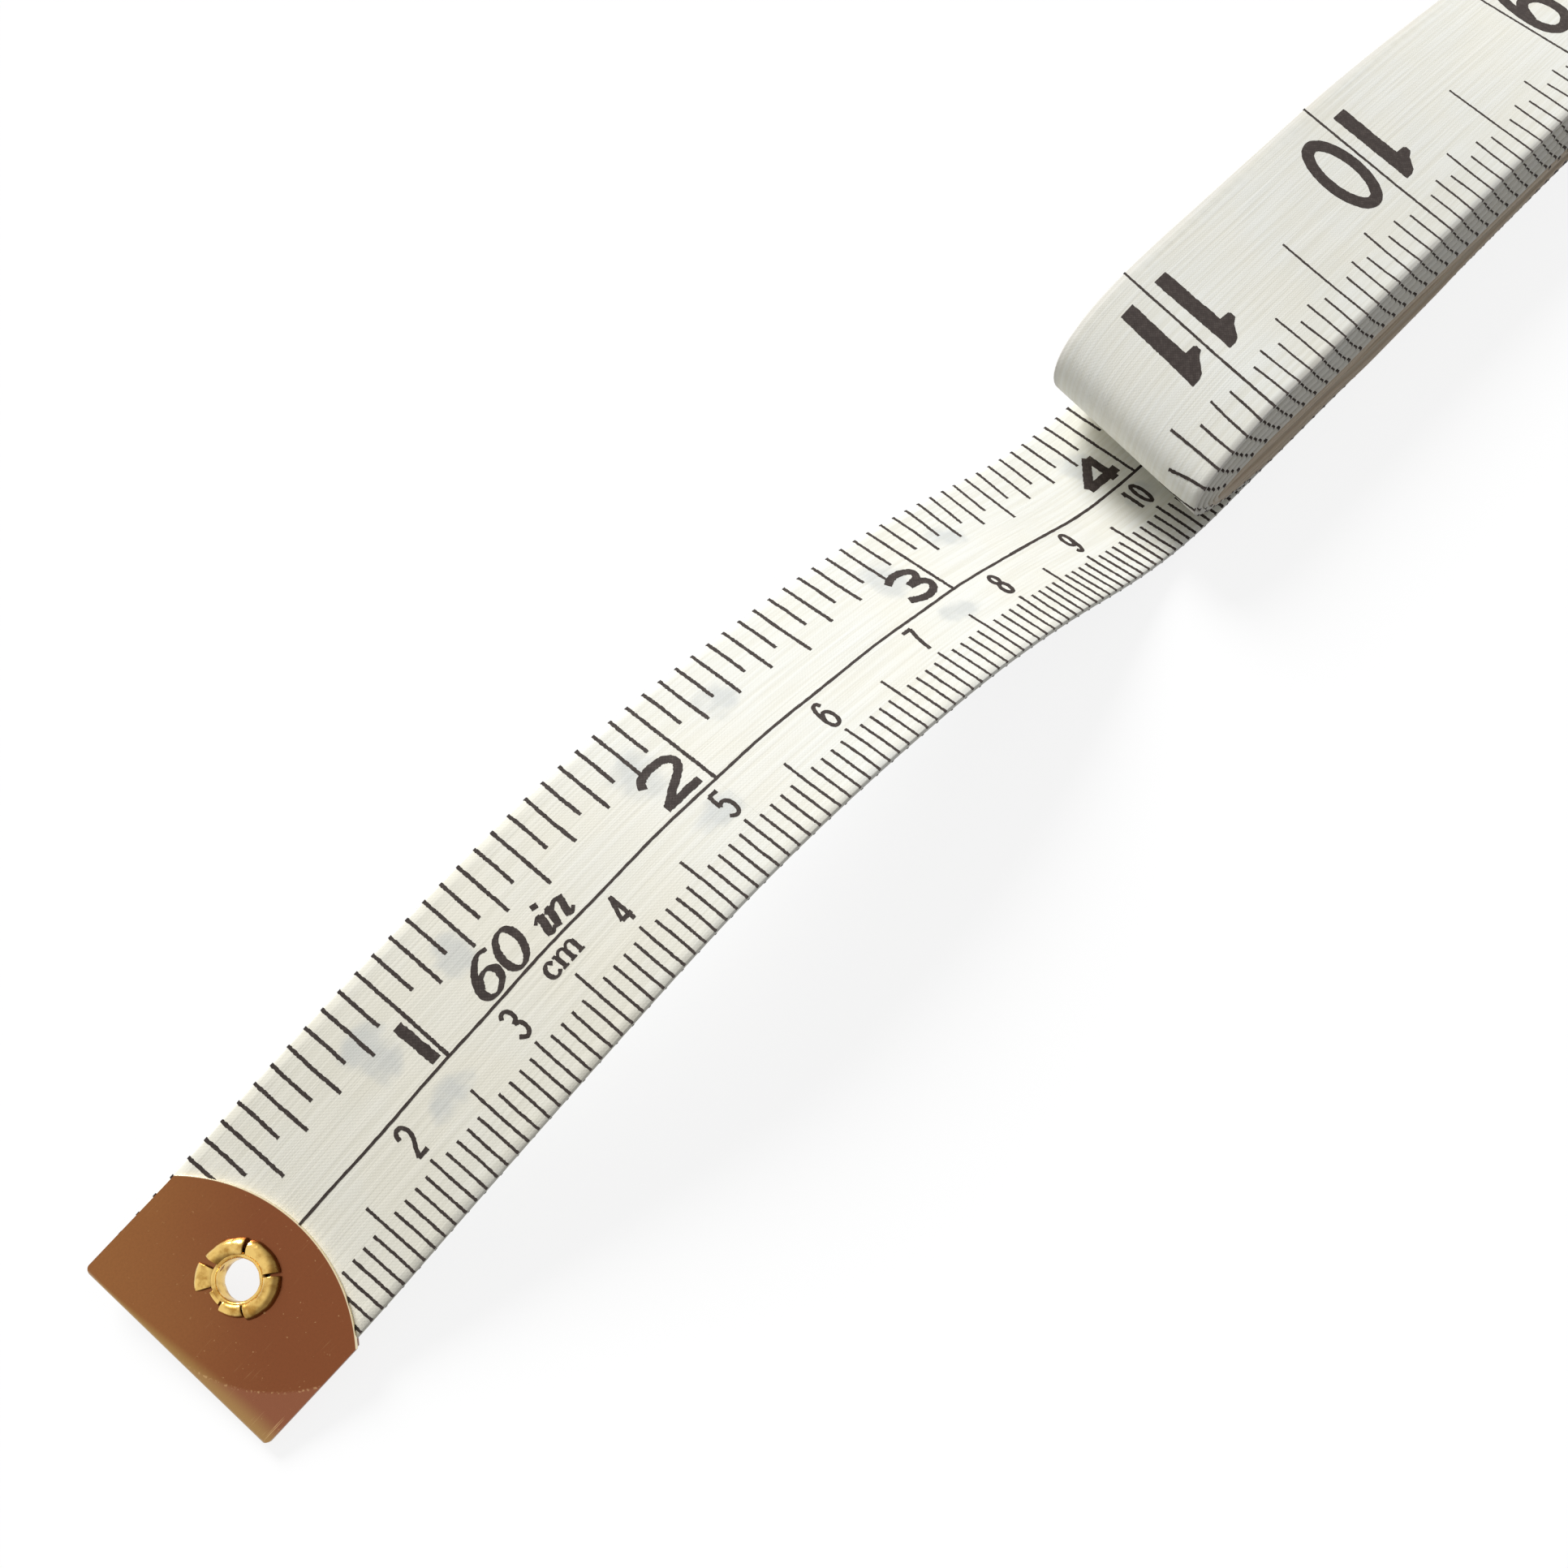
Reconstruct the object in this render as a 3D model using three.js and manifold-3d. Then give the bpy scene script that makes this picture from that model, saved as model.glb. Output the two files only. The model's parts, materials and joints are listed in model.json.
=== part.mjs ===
// A 60 inch cloth tape measure, loosely rolled flat, with its zero end drawn out along the table.
// Millimetres, +Z up. +X runs along the tape from the brass tab at the zero end to the roll,
// and the origin is on the table under the middle of the whole object.
// The tape's centreline is one path in the XZ plane; every cloth piece is a stretch of it.
import * as THREE from "three";
import { mergeVertices } from "three/addons/utils/BufferGeometryUtils.js";
import Module from "manifold-3d";

const wasm = await Module();
wasm.setup();

// Cloth.
const tapeWidth = 16;
const tapeThickness = 0.45;

// Roll: its outer turn over the plain core of inner turns.
const rollLeft = 96.8;
const rollRight = 189.7;
const rollHeight = 7.9;
const turnGap = 0.46;
const coreClearance = 0.3;
const shoulderLength = 14;
const curlHeight = 4.9;
const tuckStart = 9;
const tuckLength = 4;
const rightBendReach = 5;
const rollYaw = THREE.MathUtils.degToRad(0.8);

// The roll stands looser along its far edge, from its left end until it is pressed flat further on.
const looseShare = 0.28;
const looseUntil = 131;
const flatFrom = 166;

// Drawn-out tail: it leaves the tab at a slope, rises to a crest and comes down to the table.
const touchdownX = 102;
const crestHeight = 9.93;
const tabPitch = THREE.MathUtils.degToRad(11.4);
const tabRoll = THREE.MathUtils.degToRad(6.3);
const tailSlopeDegrees = 14;

// Each row is a point's share of the reach and of the crest's height, with the slope there.
const tailShares = [
  { reachShare: 0.307, heightShare: 0.79, slopeDegrees: 10.4 },
  { reachShare: 0.48, heightShare: 1, slopeDegrees: 0.2 },
  { reachShare: 0.647, heightShare: 0.864, slopeDegrees: -7.4 },
  { reachShare: 0.8275, heightShare: 0.389, slopeDegrees: -19.4 },
];
const handleShare = 1 / 3;

// The tape's roll about its own length: that of the tab, then the other way, then none on the table.
const farTwist = THREE.MathUtils.degToRad(-4.2);
const farTwistAlong = 69;

// Living hinges, as distances along the tape from the zero edge, and the slit that stands for each.
const tabHingeAlong = 12;
const mouthHingeAlong = 95.4;
const hingeSlit = 0.6;

// Folded brass tab on the zero end.
const brassSheet = 0.25;
const sheetClearance = 0.1;
const tabOverhang = 0.15;
const tabSideLength = 8.3;
const tabArchRise = 3.1;
const tabCornerRadius = 0.5;
const tapeSetback = 0.9;

// Eyelet through the tab.
const eyeletAlong = 6.4;
const eyeletBore = 2.7;
const eyeletWall = 0.3;
const eyeletRim = 5.3;
const eyeletHead = 5;
const rimRoll = 0.55;
const rimSeat = 0.05;
const cleftWidth = 0.32;
const cleftDegrees = [28, 98, 152, 187, 232, 318];

// Folded metal clip on the far end, wound into the middle of the roll.
const clipLength = 7;
const clipAlong = 122;

// How finely curves are divided.
const bendSteps = 12;
const runSteps = 18;
const ringSteps = 40;
const arcSteps = 18;
const overrun = 1;

const halfTape = tapeThickness / 2;
const tabWidth = tapeWidth + 2 * tabOverhang;
const foldGap = tapeThickness + 2 * sheetClearance;
const foldThickness = foldGap + 2 * brassSheet;
const foldRadius = foldThickness / 2;
const tabSideFall = (tabWidth / 2) * Math.cos(tabPitch) * Math.sin(tabRoll);
const foldFall = Math.hypot(Math.sin(tabPitch), Math.cos(tabPitch) * Math.cos(tabRoll));
const startHeight = tabSideFall + foldRadius * (foldFall - Math.sin(tabPitch));
const topRunHeight = rollHeight - halfTape;
const tuckHeight = halfTape + tapeThickness + turnGap;
const rightBendX = rollRight - halfTape - rightBendReach;
const curlX = rollLeft + halfTape;

const tailKnots = tailShares.map((row) => ({
  x: touchdownX * row.reachShare,
  height: crestHeight * row.heightShare,
  slopeDegrees: row.slopeDegrees,
}));
tailKnots.push({ x: touchdownX, height: halfTape, slopeDegrees: 0 });

// A cubic stretch between two points, each with its slope, drawn on a path of (x, z) points.
function easeTo(path, from, fromSlope, to, toSlope) {
  const reach = handleShare * (to.x - from.x);
  path.bezierCurveTo(
    from.x + reach, from.y + reach * Math.tan(fromSlope),
    to.x - reach, to.y - reach * Math.tan(toSlope),
    to.x, to.y,
  );
}

// The whole centreline in (x, z): tab, tail, bottom run, right bend, top run, left curl and tuck.
function tapeCentreline() {
  const path = new THREE.Path();
  const tabEnd = new THREE.Vector2(
    tabHingeAlong * Math.cos(tabPitch),
    startHeight + tabHingeAlong * Math.sin(tabPitch),
  );
  path.moveTo(0, startHeight);
  path.lineTo(tabEnd.x, tabEnd.y);
  let from = tabEnd;
  let fromSlope = THREE.MathUtils.degToRad(tailSlopeDegrees);
  for (const knot of tailKnots) {
    const to = new THREE.Vector2(knot.x, knot.height);
    const toSlope = THREE.MathUtils.degToRad(knot.slopeDegrees);
    easeTo(path, from, fromSlope, to, toSlope);
    from = to;
    fromSlope = toSlope;
  }
  path.lineTo(rightBendX, halfTape);
  path.absellipse(
    rightBendX, (halfTape + topRunHeight) / 2,
    rightBendReach, (topRunHeight - halfTape) / 2,
    -Math.PI / 2, Math.PI / 2, false,
  );
  path.lineTo(curlX + shoulderLength, topRunHeight);
  const upperRise = topRunHeight - curlHeight;
  const lowerRise = curlHeight - tuckHeight;
  path.bezierCurveTo(
    curlX + shoulderLength * (1 - 1.7 * handleShare), topRunHeight,
    curlX, curlHeight + upperRise * 2.5 * handleShare,
    curlX, curlHeight,
  );
  path.bezierCurveTo(
    curlX, curlHeight - lowerRise * 2 * handleShare,
    curlX + tuckStart * handleShare, tuckHeight,
    curlX + tuckStart, tuckHeight,
  );
  path.lineTo(curlX + tuckStart + tuckLength, tuckHeight);
  return path;
}

const centreline = tapeCentreline();
const tapeShown = centreline.getLength();
const touchdownAlong = centreline.getCurveLengths()[tailKnots.length];

// The tape's roll about its own length at a distance along it.
function twistAt(along) {
  const towardsFar = THREE.MathUtils.smoothstep(along, tabHingeAlong, farTwistAlong);
  const towardsFlat = THREE.MathUtils.smoothstep(along, farTwistAlong, touchdownAlong);
  return THREE.MathUtils.lerp(tabRoll, farTwist, towardsFar) * (1 - towardsFlat);
}

// Lifts what lies above the bottom run, more towards the far edge and the roll's left end.
function loosenRoll(geometry) {
  const place = geometry.getAttribute("position");
  for (let i = 0; i < place.count; i++) {
    const acrossShare = place.getY(i) / tapeWidth + 1 / 2;
    const fade = 1 - THREE.MathUtils.smoothstep(place.getX(i), looseUntil, flatFrom);
    const above = Math.max(place.getZ(i) - tapeThickness, 0);
    place.setZ(i, place.getZ(i) + above * looseShare * acrossShare * fade);
  }
  return geometry;
}

// The distances along the tape at which a stretch of it needs a cross-section.
function stationsBetween(start, end) {
  const lengths = centreline.getCurveLengths();
  const stations = [start];
  centreline.curves.forEach((curve, index) => {
    const from = index ? lengths[index - 1] : 0;
    const steps = curve.isLineCurve ? runSteps : bendSteps;
    for (let step = 1; step <= steps; step++) {
      const along = from + (lengths[index] - from) * (step / steps);
      if (along > start + hingeSlit && along < end - hingeSlit) stations.push(along);
    }
  });
  stations.push(end);
  return stations;
}

// A closed strip of tape between two distances along it, with a rectangular section.
function tapeStrip(start, end) {
  const corners = [];
  const faces = [];
  const stations = stationsBetween(start, end);
  for (const along of stations) {
    const point = centreline.getPointAt(along / tapeShown);
    const ahead = centreline.getTangentAt(along / tapeShown);
    const forward = new THREE.Vector3(ahead.x, 0, ahead.y);
    const across = new THREE.Vector3(0, 1, 0).applyAxisAngle(forward, twistAt(along));
    const up = new THREE.Vector3().crossVectors(forward, across);
    for (const [side, face] of [[-1, -1], [1, -1], [1, 1], [-1, 1]]) {
      const corner = new THREE.Vector3(point.x, 0, point.y)
        .addScaledVector(across, (side * tapeWidth) / 2)
        .addScaledVector(up, face * halfTape);
      corners.push(corner.x, corner.y, corner.z);
    }
  }
  const ring = 4;
  for (let station = 0; station < stations.length - 1; station++) {
    for (let corner = 0; corner < ring; corner++) {
      const a = station * ring + corner;
      const b = station * ring + ((corner + 1) % ring);
      faces.push(a, b, b + ring, a, b + ring, a + ring);
    }
  }
  const last = (stations.length - 1) * ring;
  faces.push(0, 3, 2, 0, 2, 1, last, last + 1, last + 2, last, last + 2, last + 3);
  const strip = new THREE.BufferGeometry();
  strip.setAttribute("position", new THREE.Float32BufferAttribute(corners, 3));
  strip.setIndex(faces);
  return strip;
}

// A flat outline in (x, z), extruded across the tape's width direction and centred on it.
function extrudeAcross(outline, width) {
  const solid = new THREE.ExtrudeGeometry(outline, {
    depth: width, bevelEnabled: false, curveSegments: bendSteps,
  });
  return solid.rotateX(Math.PI / 2).translate(0, width / 2, 0);
}

// A closed geometry as a solid that can be joined and cut, and back again.
function toSolid(geometry) {
  const bare = geometry.clone();
  bare.deleteAttribute("normal");
  bare.deleteAttribute("uv");
  const merged = mergeVertices(bare, tapeThickness / 1000);
  const mesh = new wasm.Mesh({
    numProp: 3,
    vertProperties: merged.getAttribute("position").array,
    triVerts: new Uint32Array(merged.getIndex().array),
  });
  return new wasm.Manifold(mesh);
}

function fromSolid(solid) {
  const mesh = solid.getMesh();
  const geometry = new THREE.BufferGeometry();
  geometry.setAttribute("position", new THREE.BufferAttribute(mesh.vertProperties, 3));
  geometry.setIndex(new THREE.BufferAttribute(mesh.triVerts, 1));
  geometry.computeVertexNormals();
  return geometry;
}

// An upright post that cuts the eyelet's hole, in the tab's own frame.
function boreCutter(radius) {
  const height = foldThickness + 2 * overrun;
  const post = new THREE.CylinderGeometry(radius, radius, height, ringSteps);
  return toSolid(post.rotateX(Math.PI / 2).translate(eyeletAlong, 0, 0));
}

// The side view of a strip of metal folded over the tape's end, its fold at the low x end.
function foldOutline(length) {
  const inner = foldGap / 2;
  const outline = new THREE.Shape();
  outline.moveTo(length, -foldRadius);
  outline.lineTo(length, -inner);
  outline.lineTo(foldRadius, -inner);
  outline.absarc(foldRadius, 0, inner, -Math.PI / 2, Math.PI / 2, true);
  outline.lineTo(length, inner);
  outline.lineTo(length, foldRadius);
  outline.lineTo(foldRadius, foldRadius);
  outline.absarc(foldRadius, 0, foldRadius, Math.PI / 2, -Math.PI / 2, false);
  return outline;
}

// The tab seen from above: square outer corners and an arch on the side towards the tape.
function tabPlan() {
  const half = tabWidth / 2;
  const archRadius = (half ** 2 + tabArchRise ** 2) / (2 * tabArchRise);
  const archCentre = tabSideLength + tabArchRise - archRadius;
  const archAngle = Math.asin(half / archRadius);
  const plan = new THREE.Shape();
  plan.moveTo(-overrun, -half + tabCornerRadius + overrun);
  plan.lineTo(0, -half + tabCornerRadius);
  plan.absarc(tabCornerRadius, -half + tabCornerRadius, tabCornerRadius,
    Math.PI, Math.PI * 1.5, false);
  plan.lineTo(tabSideLength, -half);
  plan.absarc(archCentre, 0, archRadius, -archAngle, archAngle, false);
  plan.lineTo(tabCornerRadius, half);
  plan.absarc(tabCornerRadius, half - tabCornerRadius, tabCornerRadius,
    Math.PI / 2, Math.PI, false);
  plan.lineTo(-overrun, half - tabCornerRadius - overrun);
  return plan;
}

function zeroEndTab() {
  const fold = toSolid(extrudeAcross(foldOutline(tabSideLength + tabArchRise), tabWidth));
  const height = foldThickness + 2 * overrun;
  const plan = new THREE.ExtrudeGeometry(tabPlan(), {
    depth: height, bevelEnabled: false, curveSegments: arcSteps,
  });
  const shaped = fold.intersect(toSolid(plan.translate(0, 0, -height / 2)));
  const bore = boreCutter(eyeletBore / 2 + eyeletWall + sheetClearance);
  return fromSolid(shaped.subtract(bore));
}

// The cloth inside the tab, punched for the eyelet.
function punchedTapeEnd() {
  const end = toSolid(
    new THREE.BoxGeometry(tabHingeAlong - hingeSlit / 2 - tapeSetback, tapeWidth, tapeThickness)
      .translate((tabHingeAlong - hingeSlit / 2 + tapeSetback) / 2, 0, 0),
  );
  return fromSolid(end.subtract(boreCutter(eyeletBore / 2 + eyeletWall + sheetClearance)));
}

// A brass tube with a smooth rolled head below and a rim above that was split and clinched outwards.
function clinchedEyelet() {
  const bore = eyeletBore / 2;
  const outside = bore + eyeletWall;
  const seat = foldRadius + rimSeat;
  const rim = eyeletRim / 2;
  const head = eyeletHead / 2;
  const profile = new THREE.Path();
  profile.moveTo(bore, -seat - rimRoll * handleShare);
  profile.quadraticCurveTo(bore, -seat - rimRoll, outside, -seat - rimRoll);
  profile.quadraticCurveTo(head, -seat - rimRoll, head, -seat);
  profile.lineTo(outside, -seat);
  profile.lineTo(outside, seat);
  profile.lineTo(rim, seat);
  profile.quadraticCurveTo(rim, seat + rimRoll, outside, seat + rimRoll);
  profile.quadraticCurveTo(bore, seat + rimRoll, bore, seat + rimRoll * handleShare);
  profile.lineTo(bore, -seat - rimRoll * handleShare);
  const tube = new THREE.LatheGeometry(profile.getPoints(bendSteps / 2), ringSteps);
  let eyelet = toSolid(tube.rotateX(Math.PI / 2));
  for (const degrees of cleftDegrees) {
    const cleft = new THREE.BoxGeometry(rim, cleftWidth, rimRoll + overrun)
      .translate(outside + rim / 2, 0, seat + rimSeat + (rimRoll + overrun) / 2)
      .rotateZ(THREE.MathUtils.degToRad(degrees));
    eyelet = eyelet.subtract(toSolid(cleft));
  }
  return fromSolid(eyelet).translate(eyeletAlong, 0, 0);
}

// The inner turns: the space inside the outer turn, with the far end's clip let into the middle.
function rollCore() {
  const inset = halfTape + coreClearance;
  const tuckEnd = curlX + tuckStart + tuckLength;
  const start = touchdownAlong + tuckEnd - touchdownX + 2 * coreClearance;
  const outline = stationsBetween(start, tapeShown).map((along) => {
    const point = centreline.getPointAt(along / tapeShown);
    const ahead = centreline.getTangentAt(along / tapeShown);
    return new THREE.Vector2(point.x - ahead.y * inset, point.y + ahead.x * inset);
  });
  outline.push(new THREE.Vector2(outline[0].x, tuckHeight + inset));
  const core = new THREE.Shape(outline);
  core.holes.push(clipSlot());
  return extrudeAcross(core, tapeWidth);
}

const clipHeight = rollHeight / 2;

// The slot round the clip, which leaves the tape's far end as a tongue between the clip's legs.
function clipSlot() {
  const wide = foldRadius + sheetClearance;
  const left = clipAlong - sheetClearance;
  const right = clipAlong + clipLength + sheetClearance;
  const tongueLeft = clipAlong + foldRadius;
  const slot = new THREE.Path();
  slot.moveTo(left, clipHeight - wide);
  slot.lineTo(right, clipHeight - wide);
  slot.lineTo(right, clipHeight - halfTape);
  slot.lineTo(tongueLeft, clipHeight - halfTape);
  slot.lineTo(tongueLeft, clipHeight + halfTape);
  slot.lineTo(right, clipHeight + halfTape);
  slot.lineTo(right, clipHeight + wide);
  slot.lineTo(left, clipHeight + wide);
  slot.closePath();
  return slot;
}

function farEndClip() {
  const clip = extrudeAcross(foldOutline(clipLength), tapeWidth);
  return clip.translate(clipAlong, 0, clipHeight);
}

const clothFinish = { color: 0xefeee4, roughness: 0.75, metalness: 0 };
const brassFinish = { color: 0x9a6a3c, roughness: 0.28, metalness: 1 };
const eyeletFinish = { color: 0xc9a24a, roughness: 0.25, metalness: 1 };
const clipFinish = { color: 0xb9b3a6, roughness: 0.35, metalness: 1 };

function piece(name, geometry, finish) {
  const mesh = new THREE.Mesh(geometry, new THREE.MeshStandardMaterial(finish));
  mesh.name = name;
  return mesh;
}

// What the tab carries lies in the tab's own frame, tilted up towards the tail.
const tabGroup = new THREE.Group();
tabGroup.position.set(0, 0, startHeight);
tabGroup.rotateY(-tabPitch).rotateX(tabRoll);
tabGroup.add(piece("zero_end_tab", zeroEndTab(), brassFinish));
tabGroup.add(piece("tape_end", punchedTapeEnd(), clothFinish));
tabGroup.add(piece("eyelet", clinchedEyelet(), eyeletFinish));

const slit = hingeSlit / 2;
const tail = tapeStrip(tabHingeAlong + slit, mouthHingeAlong - slit);
const turn = tapeStrip(mouthHingeAlong + slit, tapeShown);

// The roll lies turned a little on the table, about the point where the tail comes down.
const rollGroup = new THREE.Group();
rollGroup.position.x = touchdownX;
rollGroup.rotation.z = rollYaw;
for (const rolled of [
  piece("tape_outer_turn", loosenRoll(turn), clothFinish),
  piece("tape_inner_turns", loosenRoll(rollCore()), clothFinish),
  piece("far_end_clip", loosenRoll(farEndClip()), clipFinish),
]) {
  rolled.position.x = -touchdownX;
  rollGroup.add(rolled);
}

const tapeMeasure = new THREE.Group();
tapeMeasure.add(tabGroup, piece("tape_tail", tail, clothFinish), rollGroup);
tapeMeasure.updateMatrixWorld(true);
const middle = new THREE.Box3().setFromObject(tapeMeasure, true).getCenter(new THREE.Vector3());
tapeMeasure.position.set(-middle.x, -middle.y, 0);

// The least gap that the outer turn keeps to itself, measured between points along it.
function leastSelfGap() {
  const samples = 600;
  const apart = 8 * turnGap;
  const length = tapeShown - mouthHingeAlong;
  const points = [];
  for (let i = 0; i <= samples; i++) {
    const along = mouthHingeAlong + (length * i) / samples;
    points.push({ along, at: centreline.getPointAt(along / tapeShown) });
  }
  let least = Infinity;
  for (const a of points) {
    for (const b of points) {
      if (b.along - a.along > apart) least = Math.min(least, a.at.distanceTo(b.at));
    }
  }
  return least - tapeThickness;
}

function hingeLine(along) {
  const at = centreline.getPointAt(along / tapeShown);
  return `x ${(at.x - middle.x).toFixed(3)} z ${at.y.toFixed(3)}`;
}

console.log(`outer turn: least gap to itself ${leastSelfGap().toFixed(2)} mm`);
console.log(`tab hinge ${hingeLine(tabHingeAlong)}, mouth hinge ${hingeLine(mouthHingeAlong)}`);
console.log(`origin at x ${middle.x.toFixed(4)} y ${middle.y.toFixed(4)} of the tape's own frame`);

export default tapeMeasure;
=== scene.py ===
"""A 60 inch cloth tape measure, wound flat, with its brass zero end drawn out over the table.

Lengths are in millimetres while the tape's course is worked out, and in metres once meshes are
made. The tape's own frame has x along the drawn-out tail from its zero edge, y across the tape
towards its inch edge, and z up from the table.
"""
import json
import math
import random

import bpy
import numpy as np
from bpy.props import FloatProperty, FloatVectorProperty, PointerProperty
from bpy.types import Operator, Panel, PropertyGroup
from mathutils import Matrix, Vector

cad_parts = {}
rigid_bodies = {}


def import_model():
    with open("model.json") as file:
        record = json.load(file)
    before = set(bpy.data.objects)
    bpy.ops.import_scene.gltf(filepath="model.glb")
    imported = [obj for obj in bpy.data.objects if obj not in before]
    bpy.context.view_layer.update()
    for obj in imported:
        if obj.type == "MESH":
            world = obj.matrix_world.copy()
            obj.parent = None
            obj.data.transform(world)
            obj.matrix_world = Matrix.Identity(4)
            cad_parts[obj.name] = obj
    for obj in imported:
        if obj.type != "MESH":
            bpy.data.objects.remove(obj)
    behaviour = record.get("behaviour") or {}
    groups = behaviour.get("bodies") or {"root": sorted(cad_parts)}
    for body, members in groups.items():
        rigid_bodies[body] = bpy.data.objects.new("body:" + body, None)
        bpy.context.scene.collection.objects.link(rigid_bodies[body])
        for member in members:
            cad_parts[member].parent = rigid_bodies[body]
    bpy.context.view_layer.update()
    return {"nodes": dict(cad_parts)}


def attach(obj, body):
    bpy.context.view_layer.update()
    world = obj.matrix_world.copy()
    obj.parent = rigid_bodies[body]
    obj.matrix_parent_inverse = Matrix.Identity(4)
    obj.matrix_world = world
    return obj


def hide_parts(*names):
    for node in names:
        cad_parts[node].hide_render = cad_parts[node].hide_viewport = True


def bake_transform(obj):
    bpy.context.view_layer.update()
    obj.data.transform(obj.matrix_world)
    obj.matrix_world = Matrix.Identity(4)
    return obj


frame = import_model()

bl_info = {
    "name": "Cloth Tape Measure",
    "version": (1, 0, 0),
    "blender": (4, 5, 0),
    "location": "View3D > Sidebar > Tape Measure",
    "description": "Builds a flat-wound cloth tape measure with a folded brass end",
    "category": "Object",
}

MM = 0.001
INCH = 25.4
SIXTEENTH = INCH / 16

# The tape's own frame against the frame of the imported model.
FRAME_X = 94.8116
FRAME_Y = 0.5299

# The drawn-out tail, as in the solids: each knot is x, height and slope in degrees.
TAB_PITCH = math.radians(11.4)
TAB_ROLL = math.radians(6.3)
START_HEIGHT = 1.335
TAB_HINGE = 12.0
TAIL_SLOPE = 14.0
TAIL_KNOTS = [
    (31.31, 7.845, 10.4),
    (48.96, 9.93, 0.2),
    (65.99, 8.58, -7.4),
    (84.40, 3.863, -19.4),
]
TOUCHDOWN_X = 102.0
FAR_TWIST = math.radians(-4.2)
FAR_TWIST_AT = 69.0

# The cloth meshes: where they start, part and bend, and the steps between their rings.
CLOTH_START = 0.9
SHEET_CUT_AT = 50.93
HINGED = ((8.8, 15.4), (90.0, 98.4))
HINGE_STEP = 0.28
END_STEP = 0.02
LEAST_STEP, MOST_STEP = 0.35, 1.25
BEND_PER_STEP = 0.11

# The roll: its height and turn on the table, its laps, the right bend and the clip.
ROLL_TOP = 7.9
ROLL_YAW = math.radians(0.8)
YAW_FROM, YAW_UNTIL = 84.0, 104.0
TABLE_GAP = 0.005
RUN_STEP = 0.4
LAPS = 8
LAP_INSET = 0.56
BEND_X = 184.475
BEND_REACH = 5.0
BEND_INSET = 0.5
BEND_POINTS = 48
CLIP_X = 122.6
CLIP_HEIGHT = 3.95

# The left curl, from the shoulder round to the landing on the layer below. A reach or a share
# sets each handle of its two curves, and shares of the inset draw the inner laps in.
SHOULDER_X, SHOULDER_REACH, SHOULDER_SHARE = 111.0, 7.9, 0.45
CURL_X, CURL_HEIGHT, LAST_CURL_HEIGHT = 97.0, 4.9, 4.0
LAND_X, LAND_REACH, LAND_SHARE = 108.0, 4.0, 0.4
UPPER_SHARE, LOWER_SHARE = 0.83, 0.5
CURL_STEP = 0.2

# Spacing of the layers, before, beside and past the clip, counted from the bottom and the top.
PITCH_UP = (0.5, 0.42, 0.495)
PITCH_DOWN = (0.56, 0.485, 0.495)
PITCH_FIRST = (114.0, 121.0)
PITCH_SECOND = (130.0, 137.0)

# The roll stands looser along its far edge, as in the solids.
LOOSE_SHARE = 0.28
LOOSE_FROM, LOOSE_UNTIL = 131.0, 166.0
LOOSE_ABOVE = 0.45

# The low hump on top, just past the curl, and the skew of the curl from edge to edge.
HUMP_X, HUMP_LENGTH, HUMP_HEIGHT = 104.8, 3.4, 0.3
HUMP_ABOVE = (3.0, 7.5)
SKEW_SHARE = 0.13
SKEW_UNTIL = (98, 112)
SKEW_ABOVE = (0.6, 3.6)

# How far the inner turns have slid out at the near side: at one place, its growth along x, its
# least and most, the shares of the top layers, what each bottom layer adds, and how edges wander.
SLIDE_AT, SLIDE_X, SLIDE_GROWTH = 0.66, 106.0, 0.012
SLIDE_LEAST, SLIDE_MOST = 0.3, 1.25
SLIDE_TOP_SHARES = (0.0, 0.25, 0.5, 0.75, 1.0, 1.02, 0.9, 0.4)
SLIDE_BOTTOM = 0.17
WANDER, WANDER_LENGTH, WANDER_PHASE = 0.03, 7.3, 2.4

# The rubbed near selvedge of the inner turns is swollen.
INNER_TURNS = (9.3, 9.8)
SWELL_SHARE = 0.27
SELVEDGE = 0.8

# Brass tab.
SHEET = 0.25
FOLD_RADIUS = 0.475
TAB_WIDTH = 16.3
TAB_SIDE = 8.3
ARCH_RISE = 3.1
CORNER = 0.5
TAB_SKEW = math.radians(-1.3)
TAB_SHIFT = -0.2
LEAF_OFFSET = 0.26

# Eyelet: its place along the tab, the radius of its bore, its wall, and how much wider than the
# wall the holes in the cloth and the brass are.
EYELET_AT = 6.4
BORE = 1.35
EYELET_WALL = 0.3
CLOTH_GAP = 0.05
BRASS_GAP = 0.08

# Distances along the tape: the tail's end of the bend at the mouth of the roll, and both ends of
# the bend behind the tab.
MOUTH_AT = 91.5
BENT_FROM, BENT_UNTIL = 14.6, 9.6

# The camera's place in millimetres and its directions, as the printed ticks asked for.
CAMERA_AT = (-79.077, -39.924, 84.765)
CAMERA_RIGHT = (0.66284, -0.74801, 0.0334)
CAMERA_AHEAD = (0.24948, 0.17857, -0.95177)


def smooth(value, low, high):
    """A smooth step from 0 at low to 1 at high."""
    t = np.clip((np.asarray(value, float) - low) / (high - low), 0, 1)
    return t * t * (3 - 2 * t)


def cubic(start, leave, arrive, end, step=0.25):
    """Points along a cubic curve, without its first point."""
    chord = math.dist(start, end) + math.dist(leave, arrive)
    t = np.linspace(0, 1, max(8, int(chord / step)) + 1)[1:, None]
    p = [np.array(q, float) for q in (start, leave, arrive, end)]
    return (
        p[0] * (1 - t) ** 3
        + 3 * p[1] * t * (1 - t) ** 2
        + 3 * p[2] * t**2 * (1 - t)
        + p[3] * t**3
    )


def layer_pitch(x, pitches):
    """The spacing of the layers at x: it closes up beside the clip."""
    first = smooth(x, *PITCH_FIRST)
    second = smooth(x, *PITCH_SECOND)
    before, beside, past = pitches
    return before + (beside - before) * first + (past - beside) * second


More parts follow.
